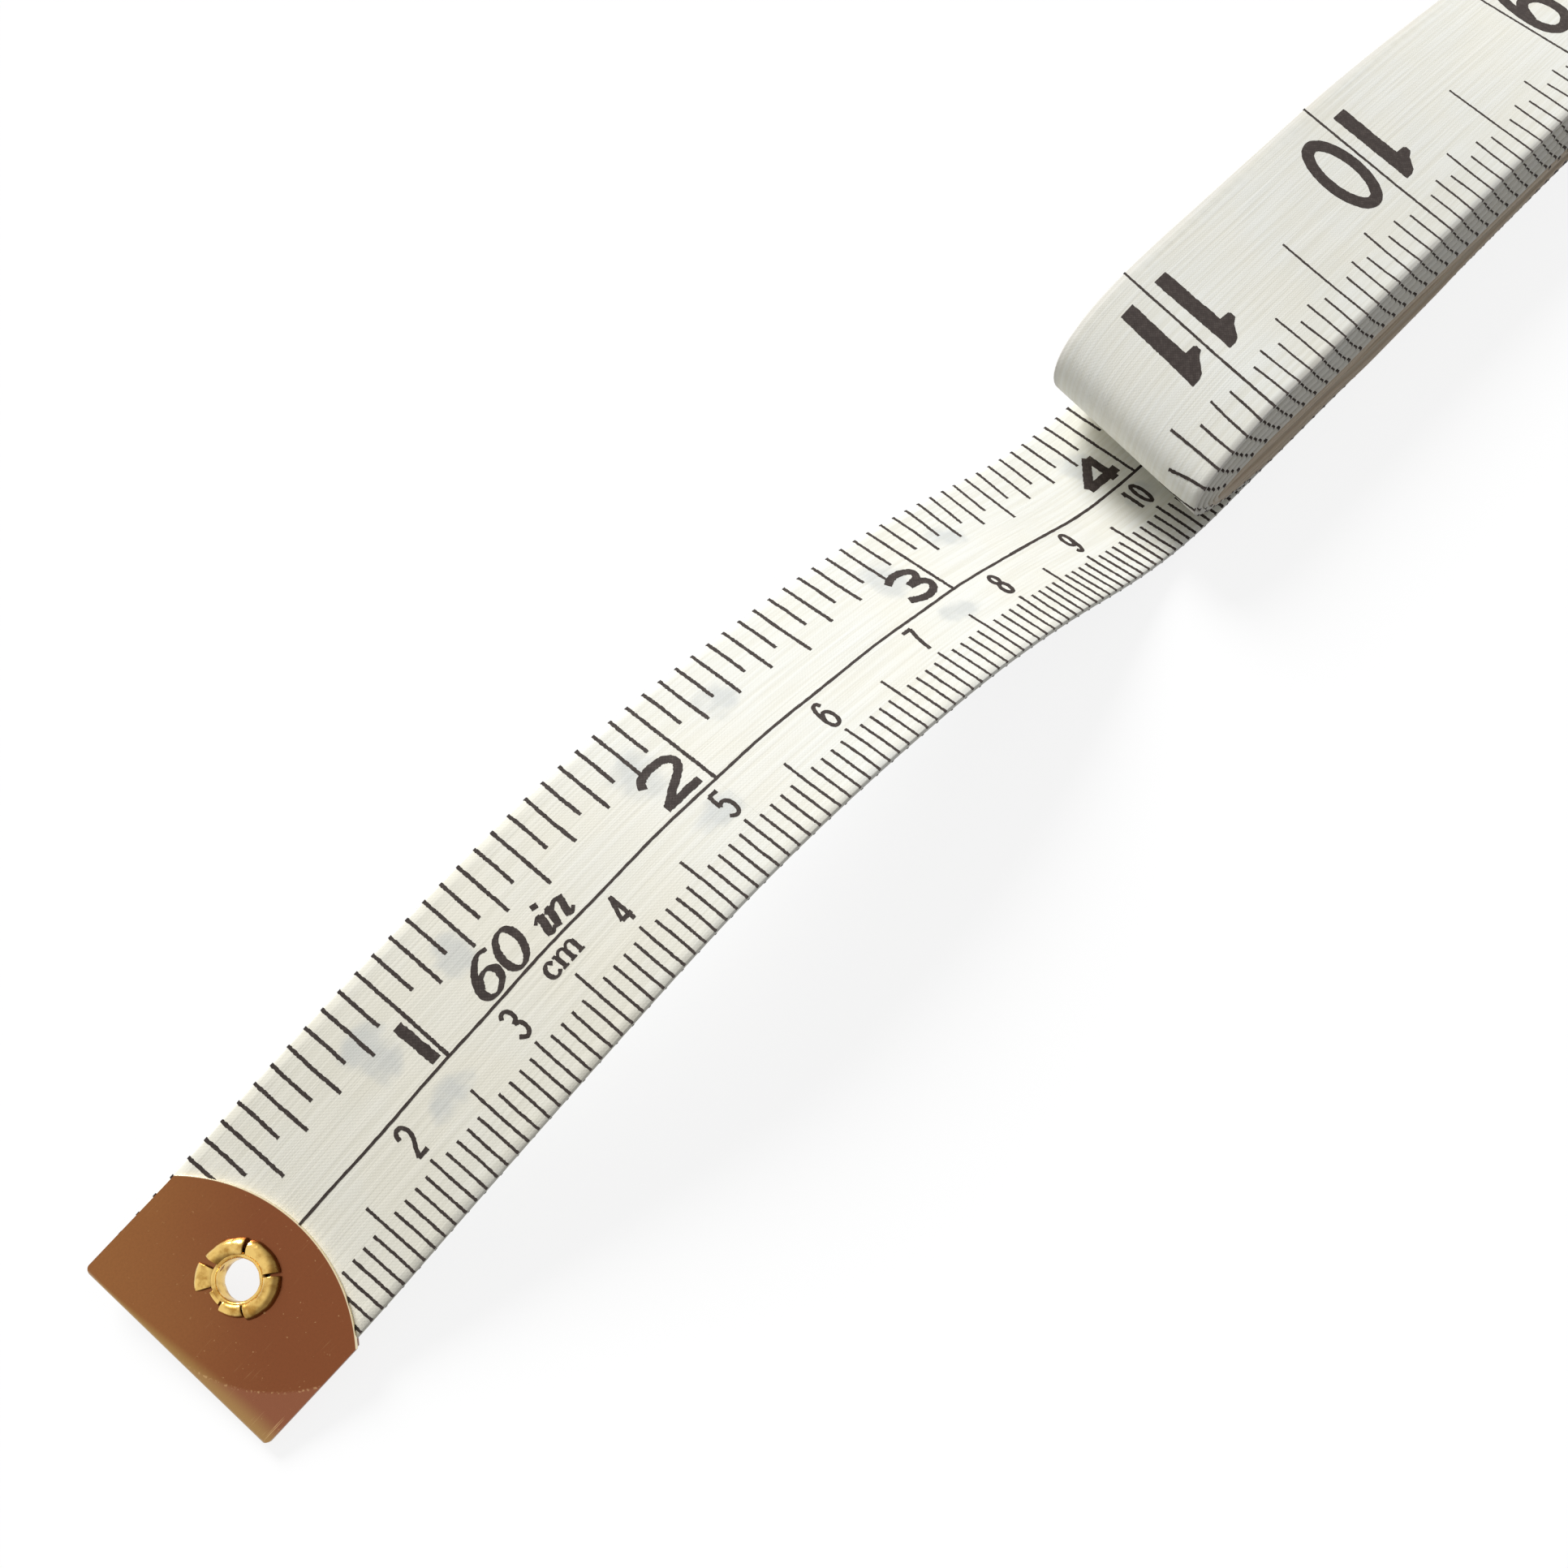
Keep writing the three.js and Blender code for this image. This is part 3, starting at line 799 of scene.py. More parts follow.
def letters(ink):
    """The length and the two units beside the first inch."""
    six = bowed([(0.8, 0.93), (0.5, 0.97), (0.2, 0.72), (0.04, 0.34), (0.14, 0.05), (0.4, -0.02),
                 (0.66, 0.16), (0.68, 0.42), (0.48, 0.58), (0.24, 0.52), (0.1, 0.32)])
    ink.stroke(slanted(six, 29.8, 0.1, 2.75, 0.16), 0.6, 0.12, 0.12, 0.4)
    naught = oval(0.38, 0.48, 0.33, 0.5, 30)
    ink.stroke(slanted(naught, 32.15, 0.1, 2.75, 0.2), 0.58, 0.12, 0.12, 0.4, True)
    for left, points, weight, ragged, step in (
        (35.35, [(0.22, 0.0), (0.22, 0.62)], 0.58, 0.14, 0.14),
        (35.4, [(0.2, 0.82), (0.2, 0.98)], 0.5, 0.1, 0.14),
        (35.3, [(0.0, 0.5), (0.12, 0.62), (0.25, 0.6)], 0.24, 0.1, 0.12),
        (35.35, [(0.2, 0.04), (0.32, 0.0), (0.44, 0.12)], 0.24, 0.1, 0.12),
        (35.2, [(0.6, 0.0), (0.6, 0.62)], 0.52, 0.14, 0.14),
        (35.2, [(1.02, 0.0), (1.02, 0.62)], 0.52, 0.14, 0.14),
        (35.2, bowed([(0.62, 0.42), (0.8, 0.6), (0.98, 0.58)]), 0.3, 0.1, 0.12),
        (35.2, [(1.0, 0.04), (1.12, 0.0), (1.24, 0.12)], 0.26, 0.1, 0.12),
        (35.2, [(0.45, 0.5), (0.55, 0.6), (0.64, 0.6)], 0.24, 0.1, 0.12),
    ):
        ink.stroke(slanted(points, left, 0.05, 2.4, 0.28), weight, ragged, step)
    cee = bowed([(0.7, 0.75), (0.45, 0.98), (0.15, 0.8), (0.05, 0.45), (0.2, 0.08), (0.5, 0.02),
                 (0.75, 0.2)])
    ink.stroke(slanted(cee, 33.7, -2.2, 1.15), 0.36, 0.14, 0.12, 0.5)
    strokes = []
    for x in (0.18, 0.82, 1.46):
        strokes.append(([(x, 0.05), (x, 0.9)], 0.34, 0.14))
        strokes.append(([(x - 0.22, 0.04), (x + 0.22, 0.04)], 0.16, 0.1))
    for x in (0.2, 0.84):
        arch = bowed([(x, 0.7), (x + 0.25, 0.98), (x + 0.55, 0.92), (x + 0.62, 0.7)])
        strokes.append((arch, 0.2, 0.14))
    strokes.append(([(-0.05, 0.92), (0.2, 0.94)], 0.16, 0.1))
    for points, weight, ragged in strokes:
        ink.stroke(slanted(points, 34.75, -2.2, 1.15), weight, ragged, 0.12)


def back_one(ink, left, weight):
    """The one of the back face: a bar with a spur for its flag, hollowed towards the bar's top."""
    top, foot = -2.2, 5.75
    low = left + 0.95
    high = low + weight
    outline = [
        (top, low + 0.8), (top + 0.18, low + 0.3), (top + 0.65, low - 0.1),
        (top + 1.15, low - 0.5), (top + 1.5, low - 1.1), (top + 1.95, low - 1.12),
        (top + 2.14, low - 0.95), (top + 2.2, low), (top + 4.5, low + 0.02), (foot, low - 0.02),
    ]
    edges = []
    for (v, near), (next_v, next_near) in zip(outline, outline[1:]):
        for t in np.linspace(0, 1, max(2, int((next_v - v) / 0.16)), endpoint=False):
            edges.append((v + (next_v - v) * t, near + (next_near - near) * t))
    edges.append(outline[-1])
    ragged = [(ink.random.uniform(-0.04, 0.04), ink.random.uniform(-0.04, 0.04)) for _ in edges]
    rows = [
        [
            (near + a + (high + b - near - a) * share, v)
            for (v, near), (a, b) in zip(edges, ragged)
        ]
        for share in (0, 0.25, 0.5, 0.75, 1)
    ]
    for left_row, right_row in zip(rows, rows[1:]):
        ink.add_slab(right_row, left_row)


def back_number(ink, inches, s):
    """A number of the back face, read from the other side, astride its inch line or before it."""
    digits = str(inches)
    foot, height, weight, bar = 5.75, 7.95, 1.08, 1.55
    if digits == "1":
        places = [(s - 3.2, 0)]
    elif len(digits) == 1:
        places = [(s - 5.1, 4.6)]
    else:
        first, second = s - 3.65, s + 0.55
        places = [
            (first - 0.15, 0) if digits[0] == "1" else (first - 0.9, 4.3),
            (second + 0.25, 0) if digits[1] == "1" else (second, 4.65),
        ]
    for digit, (left, width) in zip(digits, places):
        if digit == "1":
            back_one(ink, left, bar)
        else:
            numeral(ink, digit, left, foot, width, height, weight, -1, 0.05)


def back_tick(ink, s, sixteenth):
    """A tick of the back face. The inch lines run right across."""
    w = ink.line.half_width
    if sixteenth == 0:
        ink.stroke([(s, -w), (s + 0.05, -2.0), (s, w)], 0.21, 0.25, 0.16)
        return
    reach = {4: 5.0, 8: 8.9, 12: 5.0}.get(sixteenth, 4.0 if sixteenth % 2 == 0 else 3.4)
    lean = 0.35 * ink.random.uniform(-0.25, 0.5)
    lean += float(smooth(s, 283, 291) * (1 - smooth(s, 296, 300)))
    ink.tick(s, -w, reach, 0.19, lean)


def layer_end(ink, s):
    """The end of a tick on an inner layer, where the roll's near side shows it."""
    line = ink.line
    w = line.half_width
    turn, x = (float(np.interp(s, line.s, values)) for values in (line.turn, line.x))
    past = float(smooth(x, 146, 156))
    weight = (0.2 if turn < 8.6 else 0.28) + 0.3 * past * (8.6 < turn < 12.5)
    if turn < 9.4 or x > 146:
        ink.stroke([(s, -w - 0.01), (s + 0.02, -w + 0.28)], weight, 0.1, 0.1)
        ink.wrap(s, -w, weight * ink.random.uniform(0.85, 1.15), 0.17 + 0.1 * past)


def print_back(line, cut):
    """Inches on the back face, which is outermost on the roll and underneath along the tail."""
    outer = Ink(line, -1, 21)
    inner = Ink(line, -1, 22)
    bend_start, shown_until = (
        float(line.s[np.searchsorted(line.turn, turn)]) for turn in (0.001, 1.9)
    )
    for k in range(7, int(line.end / SIXTEENTH)):
        s = k * SIXTEENTH
        ink = outer if s < cut else inner
        if s < line.touchdown or bend_start < s < shown_until:
            back_tick(ink, s, k % 16)
            if s > line.touchdown:
                ink.wrap(s, -line.half_width, 0.3, 0.12)
        elif s > line.touchdown:
            layer_end(ink, s)
    for inches in range(1, 12):
        s = inches * INCH
        if s < line.touchdown or s > bend_start:
            back_number(outer if s < cut else inner, inches, s)
    return outer, inner


# Materials.

class Nodes:
    """A short way to write a node tree."""

    def __init__(self, tree):
        self.tree = tree

    def add(self, kind, inputs=None, **settings):
        made = self.tree.nodes.new(kind)
        for key, value in settings.items():
            setattr(made, key, value)
        for key, value in (inputs or {}).items():
            self.feed(made.inputs[key], value)
        return made

    def feed(self, socket, value):
        if isinstance(value, bpy.types.NodeSocket):
            self.tree.links.new(value, socket)
        else:
            socket.default_value = value

    def math(self, operation, *values, clamp=False):
        inputs = dict(enumerate(values))
        return self.add("ShaderNodeMath", inputs, operation=operation, use_clamp=clamp).outputs[0]

    def times(self, a, b):
        return self.math("MULTIPLY", a, b)

    def minus(self, a, b):
        return self.math("SUBTRACT", a, b)

    def larger(self, a, b):
        return self.math("MAXIMUM", a, b)

    def line(self, value, rate, start, clamp=False):
        """A value times a rate, plus a start."""
        return self.math("MULTIPLY_ADD", value, rate, start, clamp=clamp)

    def distance(self, x, y):
        return self.math("SQRT", self.math("ADD", self.times(x, x), self.times(y, y)))

    def ramp(self, value, low, high, start=0.0, end=1.0):
        """A smooth step from start at low to end at high."""
        return self.add("ShaderNodeMapRange", {
            "Value": value, "From Min": low, "From Max": high, "To Min": start, "To Max": end,
        }, interpolation_type="SMOOTHSTEP").outputs["Result"]

    def noise(self, vector, scale, detail=2.0, **inputs):
        inputs = {"Vector": vector, "Scale": scale, "Detail": detail, **inputs}
        return self.add("ShaderNodeTexNoise", inputs).outputs["Fac"]

    def split(self, vector):
        return self.add("ShaderNodeSeparateXYZ", {0: vector}).outputs

    def attribute(self, name):
        return self.add("ShaderNodeAttribute", attribute_name=name).outputs["Fac"]

    def vector_math(self, operation, *values, out="Vector"):
        inputs = dict(enumerate(values))
        return self.add("ShaderNodeVectorMath", inputs, operation=operation).outputs[out]

    def mix(self, factor, a, b):
        made = self.add("ShaderNodeMix", {"Factor": factor, "A": a, "B": b}, data_type="RGBA")
        return made.outputs["Result"]

    def stain(self, tone, mask, amount, *screen):
        """A tone with a screen colour over it, as strong as a mask times an amount."""
        return self.mix(self.times(mask, amount), tone, colour(*screen))


def colour(red, green, blue):
    """A colour from its 0 to 255 screen values, as the linear colour that nodes take."""
    def linear(value):
        value /= 255
        return value / 12.92 if value <= 0.04045 else ((value + 0.055) / 1.055) ** 2.4
    return (linear(red), linear(green), linear(blue), 1.0)


def opaque(setting):
    """A colour setting as nodes take it."""
    return (*setting, 1.0)


def shader_group(name, outputs, **inputs):
    """Makes a function that wires a node group into one that places the group in a material. The
    group is built when it is first placed, and its outputs are masks or other plain values."""
    def build(wire):
        tree = bpy.data.node_groups.new(name, "ShaderNodeTree")
        for label, default in inputs.items():
            kind = "NodeSocketVector" if isinstance(default, tuple) else "NodeSocketFloat"
            socket = tree.interface.new_socket(name=label, in_out="INPUT", socket_type=kind)
            socket.default_value = default
        for label in outputs:
            tree.interface.new_socket(name=label, in_out="OUTPUT", socket_type="NodeSocketFloat")
        entry = tree.nodes.new("NodeGroupInput")
        leave = tree.nodes.new("NodeGroupOutput")
        n = Nodes(tree)
        for label, value in zip(outputs, wire(n, entry.outputs)):
            n.feed(leave.inputs[label], value)
        return tree

    def decorate(wire):
        def place(n, **given):
            tree = bpy.data.node_groups.get(name) or build(wire)
            return n.add("ShaderNodeGroup", given, node_tree=tree).outputs
        return place

    return decorate


ORIGIN = (0.0, 0.0, 0.0)


@shader_group("Cloth Weave", ["Height", "Fibres"], Vector=ORIGIN, Thread=0.28)
def weave(n, given):
    """Over-and-under threads and the long fibres in them, on coordinates in millimetres."""
    x, y, z = n.split(given["Vector"])
    rate = n.math("DIVIDE", 2 * math.pi, given["Thread"])
    bent = n.line(n.noise(given["Vector"], 1.3), 0.1, x)
    warp = n.math("SINE", n.times(bent, rate))
    weft = n.math("SINE", n.times(y, rate))
    stretched = n.add("ShaderNodeCombineXYZ", {"X": n.times(x, 0.07), "Y": n.times(y, 3.2), "Z": z})
    fibres = n.noise(stretched.outputs[0], 1.0, 5.0, Roughness=0.6)
    return n.line(n.times(warp, weft), 0.5, 0.5), fibres


@shader_group("Soft Mottle", ["Mask"], Vector=ORIGIN, Scale=1.0, Low=0.35, High=0.65)
def mottle(n, given):
    """A soft uneven mask."""
    return [n.ramp(n.noise(given["Vector"], given["Scale"], 4.0), given["Low"], given["High"])]


@shader_group("Show Through", ["Mask"], Vector=ORIGIN)
def show_through(n, given):
    """The bold numbers of the back, seen as soft patches through the front beside each inch."""
    x, y, _ = n.split(given["Vector"])
    inch = n.math("MODULO", n.math("ADD", x, 7.0), INCH)
    rough = n.times(n.minus(n.noise(given["Vector"], 0.5), 0.5), 2.2)
    mask = 0.0
    for at, up, wide, tall in ((4.0, 3.4, 2.2, 2.6), (5.6, -2.3, 2.4, 1.3), (12.2, 4.0, 2.0, 1.7)):
        dx = n.math("DIVIDE", n.minus(inch, at), wide)
        dy = n.math("DIVIDE", n.minus(y, up), tall)
        away = n.math("ADD", n.times(dx, dx), n.times(dy, dy))
        mask = n.larger(mask, n.ramp(n.math("ADD", away, rough), 1.0, 0.0))
    return [mask]


@shader_group("Fine Scratches", ["Mask"], Vector=ORIGIN, Turn=ORIGIN, Density=1.0, Amount=0.5)
def scratches(n, given):
    """Thin bright scratches in one direction, in broken patches."""
    turned = n.add("ShaderNodeMapping", {
        "Vector": given["Vector"], "Rotation": given["Turn"], "Scale": (0.22, 7.0, 1.0),
    })
    lines = n.noise(turned.outputs[0], given["Density"], 3.0, Roughness=0.7, Distortion=0.3)
    patch = n.noise(given["Vector"], 0.55)
    found = n.times(n.ramp(lines, 0.62, 0.72), n.ramp(patch, 0.45, 0.65))
    return [n.math("MULTIPLY", found, given["Amount"], clamp=True)]


def new_material(name, uv_map=None):
    """A material, its nodes, its shader, and the UV map or place that its patterns follow."""
    material = bpy.data.materials.new(name)
    material.use_nodes = True
    n = Nodes(material.node_tree)
    if uv_map:
        place = n.add("ShaderNodeUVMap", uv_map=uv_map).outputs[0]
    else:
        place = n.add("ShaderNodeTexCoord").outputs["Object"]
    return material, n, material.node_tree.nodes["Principled BSDF"], place


def finish(n, shader, inputs, height, strength, depth, invert=False):
    """Feeds a shader, with a bump of a depth in millimetres for its normal."""
    for label, value in inputs.items():
        n.feed(shader.inputs[label], value)
    bump = n.add("ShaderNodeBump", {
        "Height": height, "Strength": strength, "Distance": depth * MM,
    }, invert=invert)
    n.feed(shader.inputs["Normal"], bump.outputs[0])


def cloth_material(finishes):
    material, n, shader, uv = new_material("White Tape Cloth", "tape")
    along, across, _ = n.split(uv)
    threads = weave(n, Vector=uv, Thread=0.27)
    cloud = mottle(n, Vector=uv, Scale=0.16, Low=0.35, High=0.7)["Mask"]
    handled = n.line(cloud, 0.45, n.ramp(along, 30.0, 58.0, 0.75, 0.0), clamp=True)
    tone = n.mix(handled, opaque(finishes.cloth_colour), opaque(finishes.cloth_shade))
    gaps = n.minus(1.0, n.ramp(threads["Fibres"], 0.36, 0.62))
    tone = n.stain(tone, gaps, 0.4, 228, 224, 206)
    ghost = n.times(show_through(n, Vector=uv)["Mask"], n.attribute("front"))
    tone = n.stain(tone, ghost, 0.55, 204, 208, 208)
    # Painted shade: the edges of the outer laps in the roll are greyer.
    tone = n.stain(tone, n.attribute("outer_edge"), 0.5, 196, 190, 182)
    # The cut edges of the inner laps are tan, partly their own colour and partly painted shade.
    tone = n.stain(tone, n.attribute("inner_edge"), 0.92, 190, 170, 145)
    # The selvedge swells between the printed ticks.
    swell = n.line(n.math("COSINE", n.times(along, 2 * math.pi / SIXTEENTH)), -0.5, 0.5)
    selvedge = n.times(swell, n.ramp(n.math("ABSOLUTE", across), 6.6, 7.7))
    height = n.line(threads["Fibres"], 2.2, n.times(threads["Height"], 0.35))
    finish(n, shader, {
        "Base Color": tone, "Roughness": n.line(threads["Fibres"], 0.25, 0.52),
        "Specular IOR Level": 0.3, "Sheen Weight": 0.08,
    }, n.line(selvedge, 1.4, height), 0.4, 0.03)
    return material


def ink_material(finishes):
    material, n, shader, uv = new_material("Printed Ink", "tape")
    threads = weave(n, Vector=uv, Thread=0.27)
    cloud = mottle(n, Vector=uv, Scale=2.4, Low=0.4, High=0.68)["Mask"]
    worn = n.times(cloud, threads["Height"])
    finish(n, shader, {
        "Base Color": n.stain(opaque(finishes.ink_colour), worn, 0.5, 104, 94, 88),
        "Roughness": n.line(threads["Fibres"], 0.2, 0.6), "Specular IOR Level": 0.25,
    }, threads["Height"], 0.4, 0.02)
    return material


def brass_material(finishes):
    """Polished brass with a copper cast, on the tab's own plan in millimetres."""
    material, n, shader, uv = new_material("Polished Brass Tab", "tab")
    along, across, _ = n.split(uv)
    cloud = mottle(n, Vector=uv, Scale=0.16, Low=0.3, High=0.7)["Mask"]
    speck = mottle(n, Vector=uv, Scale=6.0, Low=0.35, High=0.75)["Mask"]
    # Painted shade: the tab grows darker and redder from its outer corner towards the near end of
    # its arch, standing in for what the polished brass reflects, with a random cloud over it.
    cloud_and_painted_shade = n.line(cloud, 0.15, n.ramp(n.minus(along, across), -7.0, 12.0), clamp=True)
    tone = n.mix(cloud_and_painted_shade, opaque(finishes.brass_colour), opaque(finishes.brass_shade))
    tone = n.stain(tone, speck, 0.12, 96, 62, 40)
    # A long scratch curves round the corner that has rubbed most. Beyond it the brass is painted
    # darker and redder, as a painted reflection edge.
    scratch_x, scratch_y, scratch_radius = 10.3, 0.5, 10.1
    away = n.distance(n.minus(along, scratch_x), n.minus(across, scratch_y))
    near = n.ramp(across, 0.0, -2.0)
    darker = n.ramp(away, scratch_radius - 0.15, scratch_radius + 0.1)
    tone = n.stain(tone, n.times(darker, near), 0.5, 150, 98, 76)
    # A painted highlight makes the brass paler along its outer fold, over a wider band towards the
    # near side.
    spread = n.ramp(across, 8.0, -8.0, 0.35, 1.7)
    painted_fold_highlight = n.ramp(n.math("DIVIDE", along, spread), 1.0, 0.1, 0.0, 0.42)
    tone = n.mix(painted_fold_highlight, tone, colour(190, 166, 100))
    corner = n.times(n.ramp(across, -2.0, -7.0), n.ramp(along, 5.5, 1.0))
    arc = n.ramp(n.math("ABSOLUTE", n.minus(away, scratch_radius)), 0.13, 0.0)
    arc = n.times(n.times(arc, near), n.ramp(n.noise(uv, 4.5, 4.0), 0.52, 0.62, 0.0, 0.55))
    fleck = n.ramp(n.noise(uv, 3.3), 0.69, 0.75, 0.0, 0.6)
    marks = n.larger(arc, n.times(fleck, n.ramp(across, 2.0, -5.0, 0.35, 1.0)))
    for turn, density, rate, least in ((0.9, 1.0, 1.2, 0.14), (-0.5, 0.7, 0.8, 0.1)):
        lines = scratches(n, Vector=uv, Turn=(0.0, 0.0, turn), Density=density,
                          Amount=n.line(corner, rate, least))
        marks = n.larger(marks, lines["Mask"])
    tone = n.stain(tone, marks, 0.75, 214, 178, 128)
    radius, centre = arch_shape()
    # A thin painted highlight runs along the arched edge.
    out = n.distance(n.minus(along, centre), across)
    rim = n.times(n.ramp(out, radius - 0.09, radius - 0.03), n.ramp(along, 7.6, 8.0))
    finish(n, shader, {
        "Base Color": n.stain(tone, rim, 0.9, 240, 226, 190), "Metallic": 1.0,
        "Roughness": n.line(marks, 0.2, n.line(cloud, 0.1, 0.2)),
    }, marks, 0.3, 0.02, invert=True)
    return material


def bright_metal(name, base, shade, scale, lit_side=None, bore=None):
    """Bright worn metal on the piece's own place, for the eyelet and the clip. With a lit side
    given, the metal that faces it gets a painted highlight and the other side painted shade, but
    not the wall of the bore."""
    material, n, shader, place = new_material(name)
    sized = n.add("ShaderNodeMapping", {"Vector": place, "Scale": (1000, 1000, 1000)}).outputs[0]
    cloud = mottle(n, Vector=sized, Scale=scale, Low=0.42, High=0.66)["Mask"]
    lines = scratches(n, Vector=sized, Turn=(0.3, 0.2, 0.7), Density=2.0, Amount=0.7)["Mask"]
    tone = n.mix(cloud, base, shade)
    if lit_side is not None:
        middle, axis, radius = bore
        normal = n.add("ShaderNodeTexCoord").outputs["Normal"]
        facing = n.vector_math("DOT_PRODUCT", normal, lit_side.normalized(), out="Value")
        off = n.vector_math("CROSS_PRODUCT", n.vector_math("SUBTRACT", place, middle), axis)
        off = n.vector_math("LENGTH", off, out="Value")
        # Painted shade on the side turned away from the lit side, kept off the wall of the bore.
        painted_shade_side = n.times(n.ramp(facing, 0.45, -0.15, 0.0, 0.85),
                          n.ramp(off, radius, radius + 0.12 * MM))
        tone = n.mix(painted_shade_side, tone, colour(104, 74, 34))
        # Painted highlight on the side that faces the lit side.
        tone = n.mix(n.ramp(facing, 0.72, 0.95, 0.0, 0.6), tone, colour(255, 238, 180))
    finish(n, shader, {
        "Base Color": n.stain(tone, lines, 0.5, 255, 240, 205), "Metallic": 1.0,
        "Roughness": n.line(cloud, 0.18, 0.14),
    }, cloud, 0.35, 0.04)
    return material


# What a user would change.

def length_setting(name, description, default):
    return FloatProperty(
        name=name, description=description, default=default, unit="LENGTH", subtype="DISTANCE",
    )


def colour_setting(name, description, *screen):
    return FloatVectorProperty(
        name=name, description=description, default=colour(*screen)[:3], subtype="COLOR",
        min=0, max=1,
    )


class TapeSizes(PropertyGroup):
    """Sizes of the cloth tape."""

    width: length_setting("Width", "Width of the tape", 0.016)
    thickness: length_setting("Thickness", "Thickness of the cloth", 0.00039)
    length: length_setting("Length", "Whole length of the tape", 1.524)


class TapeFinishes(PropertyGroup):
    """Colours of the tape and its metal ends."""

    cloth_colour: colour_setting("Cloth", "Colour of the white cloth", 248, 248, 241)
    cloth_shade: colour_setting("Cloth Shade", "Warmer tone of the handled cloth", 250, 246, 231)
    ink_colour: colour_setting("Ink", "Colour of the printed marks", 55, 46, 42)
    # The brass and its shade are the two ends of the painted shading across the tab: lighter at its
    # outer corner, darker and redder towards its near arch corner.
    brass_colour: colour_setting("Brass", "Colour of the brass tab", 148, 98, 58)
    brass_shade: colour_setting("Brass Shade", "Redder tone of the brass tab", 130, 77, 49)


class TapeStage(PropertyGroup):
    """Light and camera."""

    key: FloatProperty(
        name="Key Light", description="Strength of the soft key light", default=3.62,
    )
    fill: FloatProperty(
        name="Fill Light", description="Strength of the light from all round", default=0.31,
    )
    lens: FloatProperty(
        name="Lens", description="Focal length of the camera", default=29.894,
        unit="CAMERA", subtype="NONE",
    )
    floor: length_setting("Floor", "Side of the floor", 40.0)


class TapeSettings(PropertyGroup):
    """All settings of the tape measure."""

    sizes: PointerProperty(type=TapeSizes, name="Sizes", description="Sizes of the tape")
    finishes: PointerProperty(type=TapeFinishes, name="Finishes", description="Colours")
    stage: PointerProperty(type=TapeStage, name="Stage", description="Light and camera")


def settings():
    return bpy.context.scene.tape_measure


def tape_line():
    sizes = settings().sizes
    return TapeLine(sizes.width / MM, sizes.thickness / MM, sizes.length / MM)


def tab_place():
    """The tab's own frame: x along the tape from its outer fold, z out of its upper leaf."""
    return (
        Matrix.Translation(Vector((-FRAME_X, -FRAME_Y, START_HEIGHT)) * MM)
        @ Matrix.Rotation(-TAB_PITCH, 4, "Y")
        @ Matrix.Rotation(TAB_ROLL, 4, "X")
    )


def arch_shape():
    """Radius of the arched edge over the tape, and where its centre lies along the tab."""
    half = TAB_WIDTH / 2
    radius = (half**2 + ARCH_RISE**2) / (2 * ARCH_RISE)
    return radius, TAB_SIDE + ARCH_RISE - radius


class TAPE_OT_cloth(Operator):
    """Lay the cloth tape and print both of its faces"""

    bl_idname = "tape_measure.cloth"
    bl_label = "Cloth Tape"

    def execute(self, context):
        line = tape_line()
        cloth = cloth_material(settings().finishes)
        ink = ink_material(settings().finishes)
        wound = ribbon("tape_wound", line, SHEET_CUT_AT, line.end, cloth)
        drawn = ribbon("tape_drawn_out", line, CLOTH_START, SHEET_CUT_AT, cloth)
        punch = round_cutter("eyelet_punch", EYELET_AT, BORE + EYELET_WALL + CLOTH_GAP, 4, 48)
        apply_place(punch)
        punch.data.transform(tab_place())
        boolean(drawn, punch, "DIFFERENCE")
        prints = {"front": print_front(line, SHEET_CUT_AT), "back": print_back(line, SHEET_CUT_AT)}
        outer = [inks[0].piece(f"{face}_print_drawn_out", ink) for face, inks in prints.items()]
        inner = [inks[1].piece(f"{face}_print_wound", ink) for face, inks in prints.items()]
        mouth = line.place([MOUTH_AT], 0, 0)
        tab = line.place([BENT_FROM, BENT_UNTIL], 0, 0)
        for piece in [wound, *inner]:
            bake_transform(piece)
        for piece in [drawn, *outer]:
            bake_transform(piece)
        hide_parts("tape_outer_turn", "tape_inner_turns", "tape_tail")
        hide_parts("tape_end", "tape_tail")
        return {"FINISHED"}


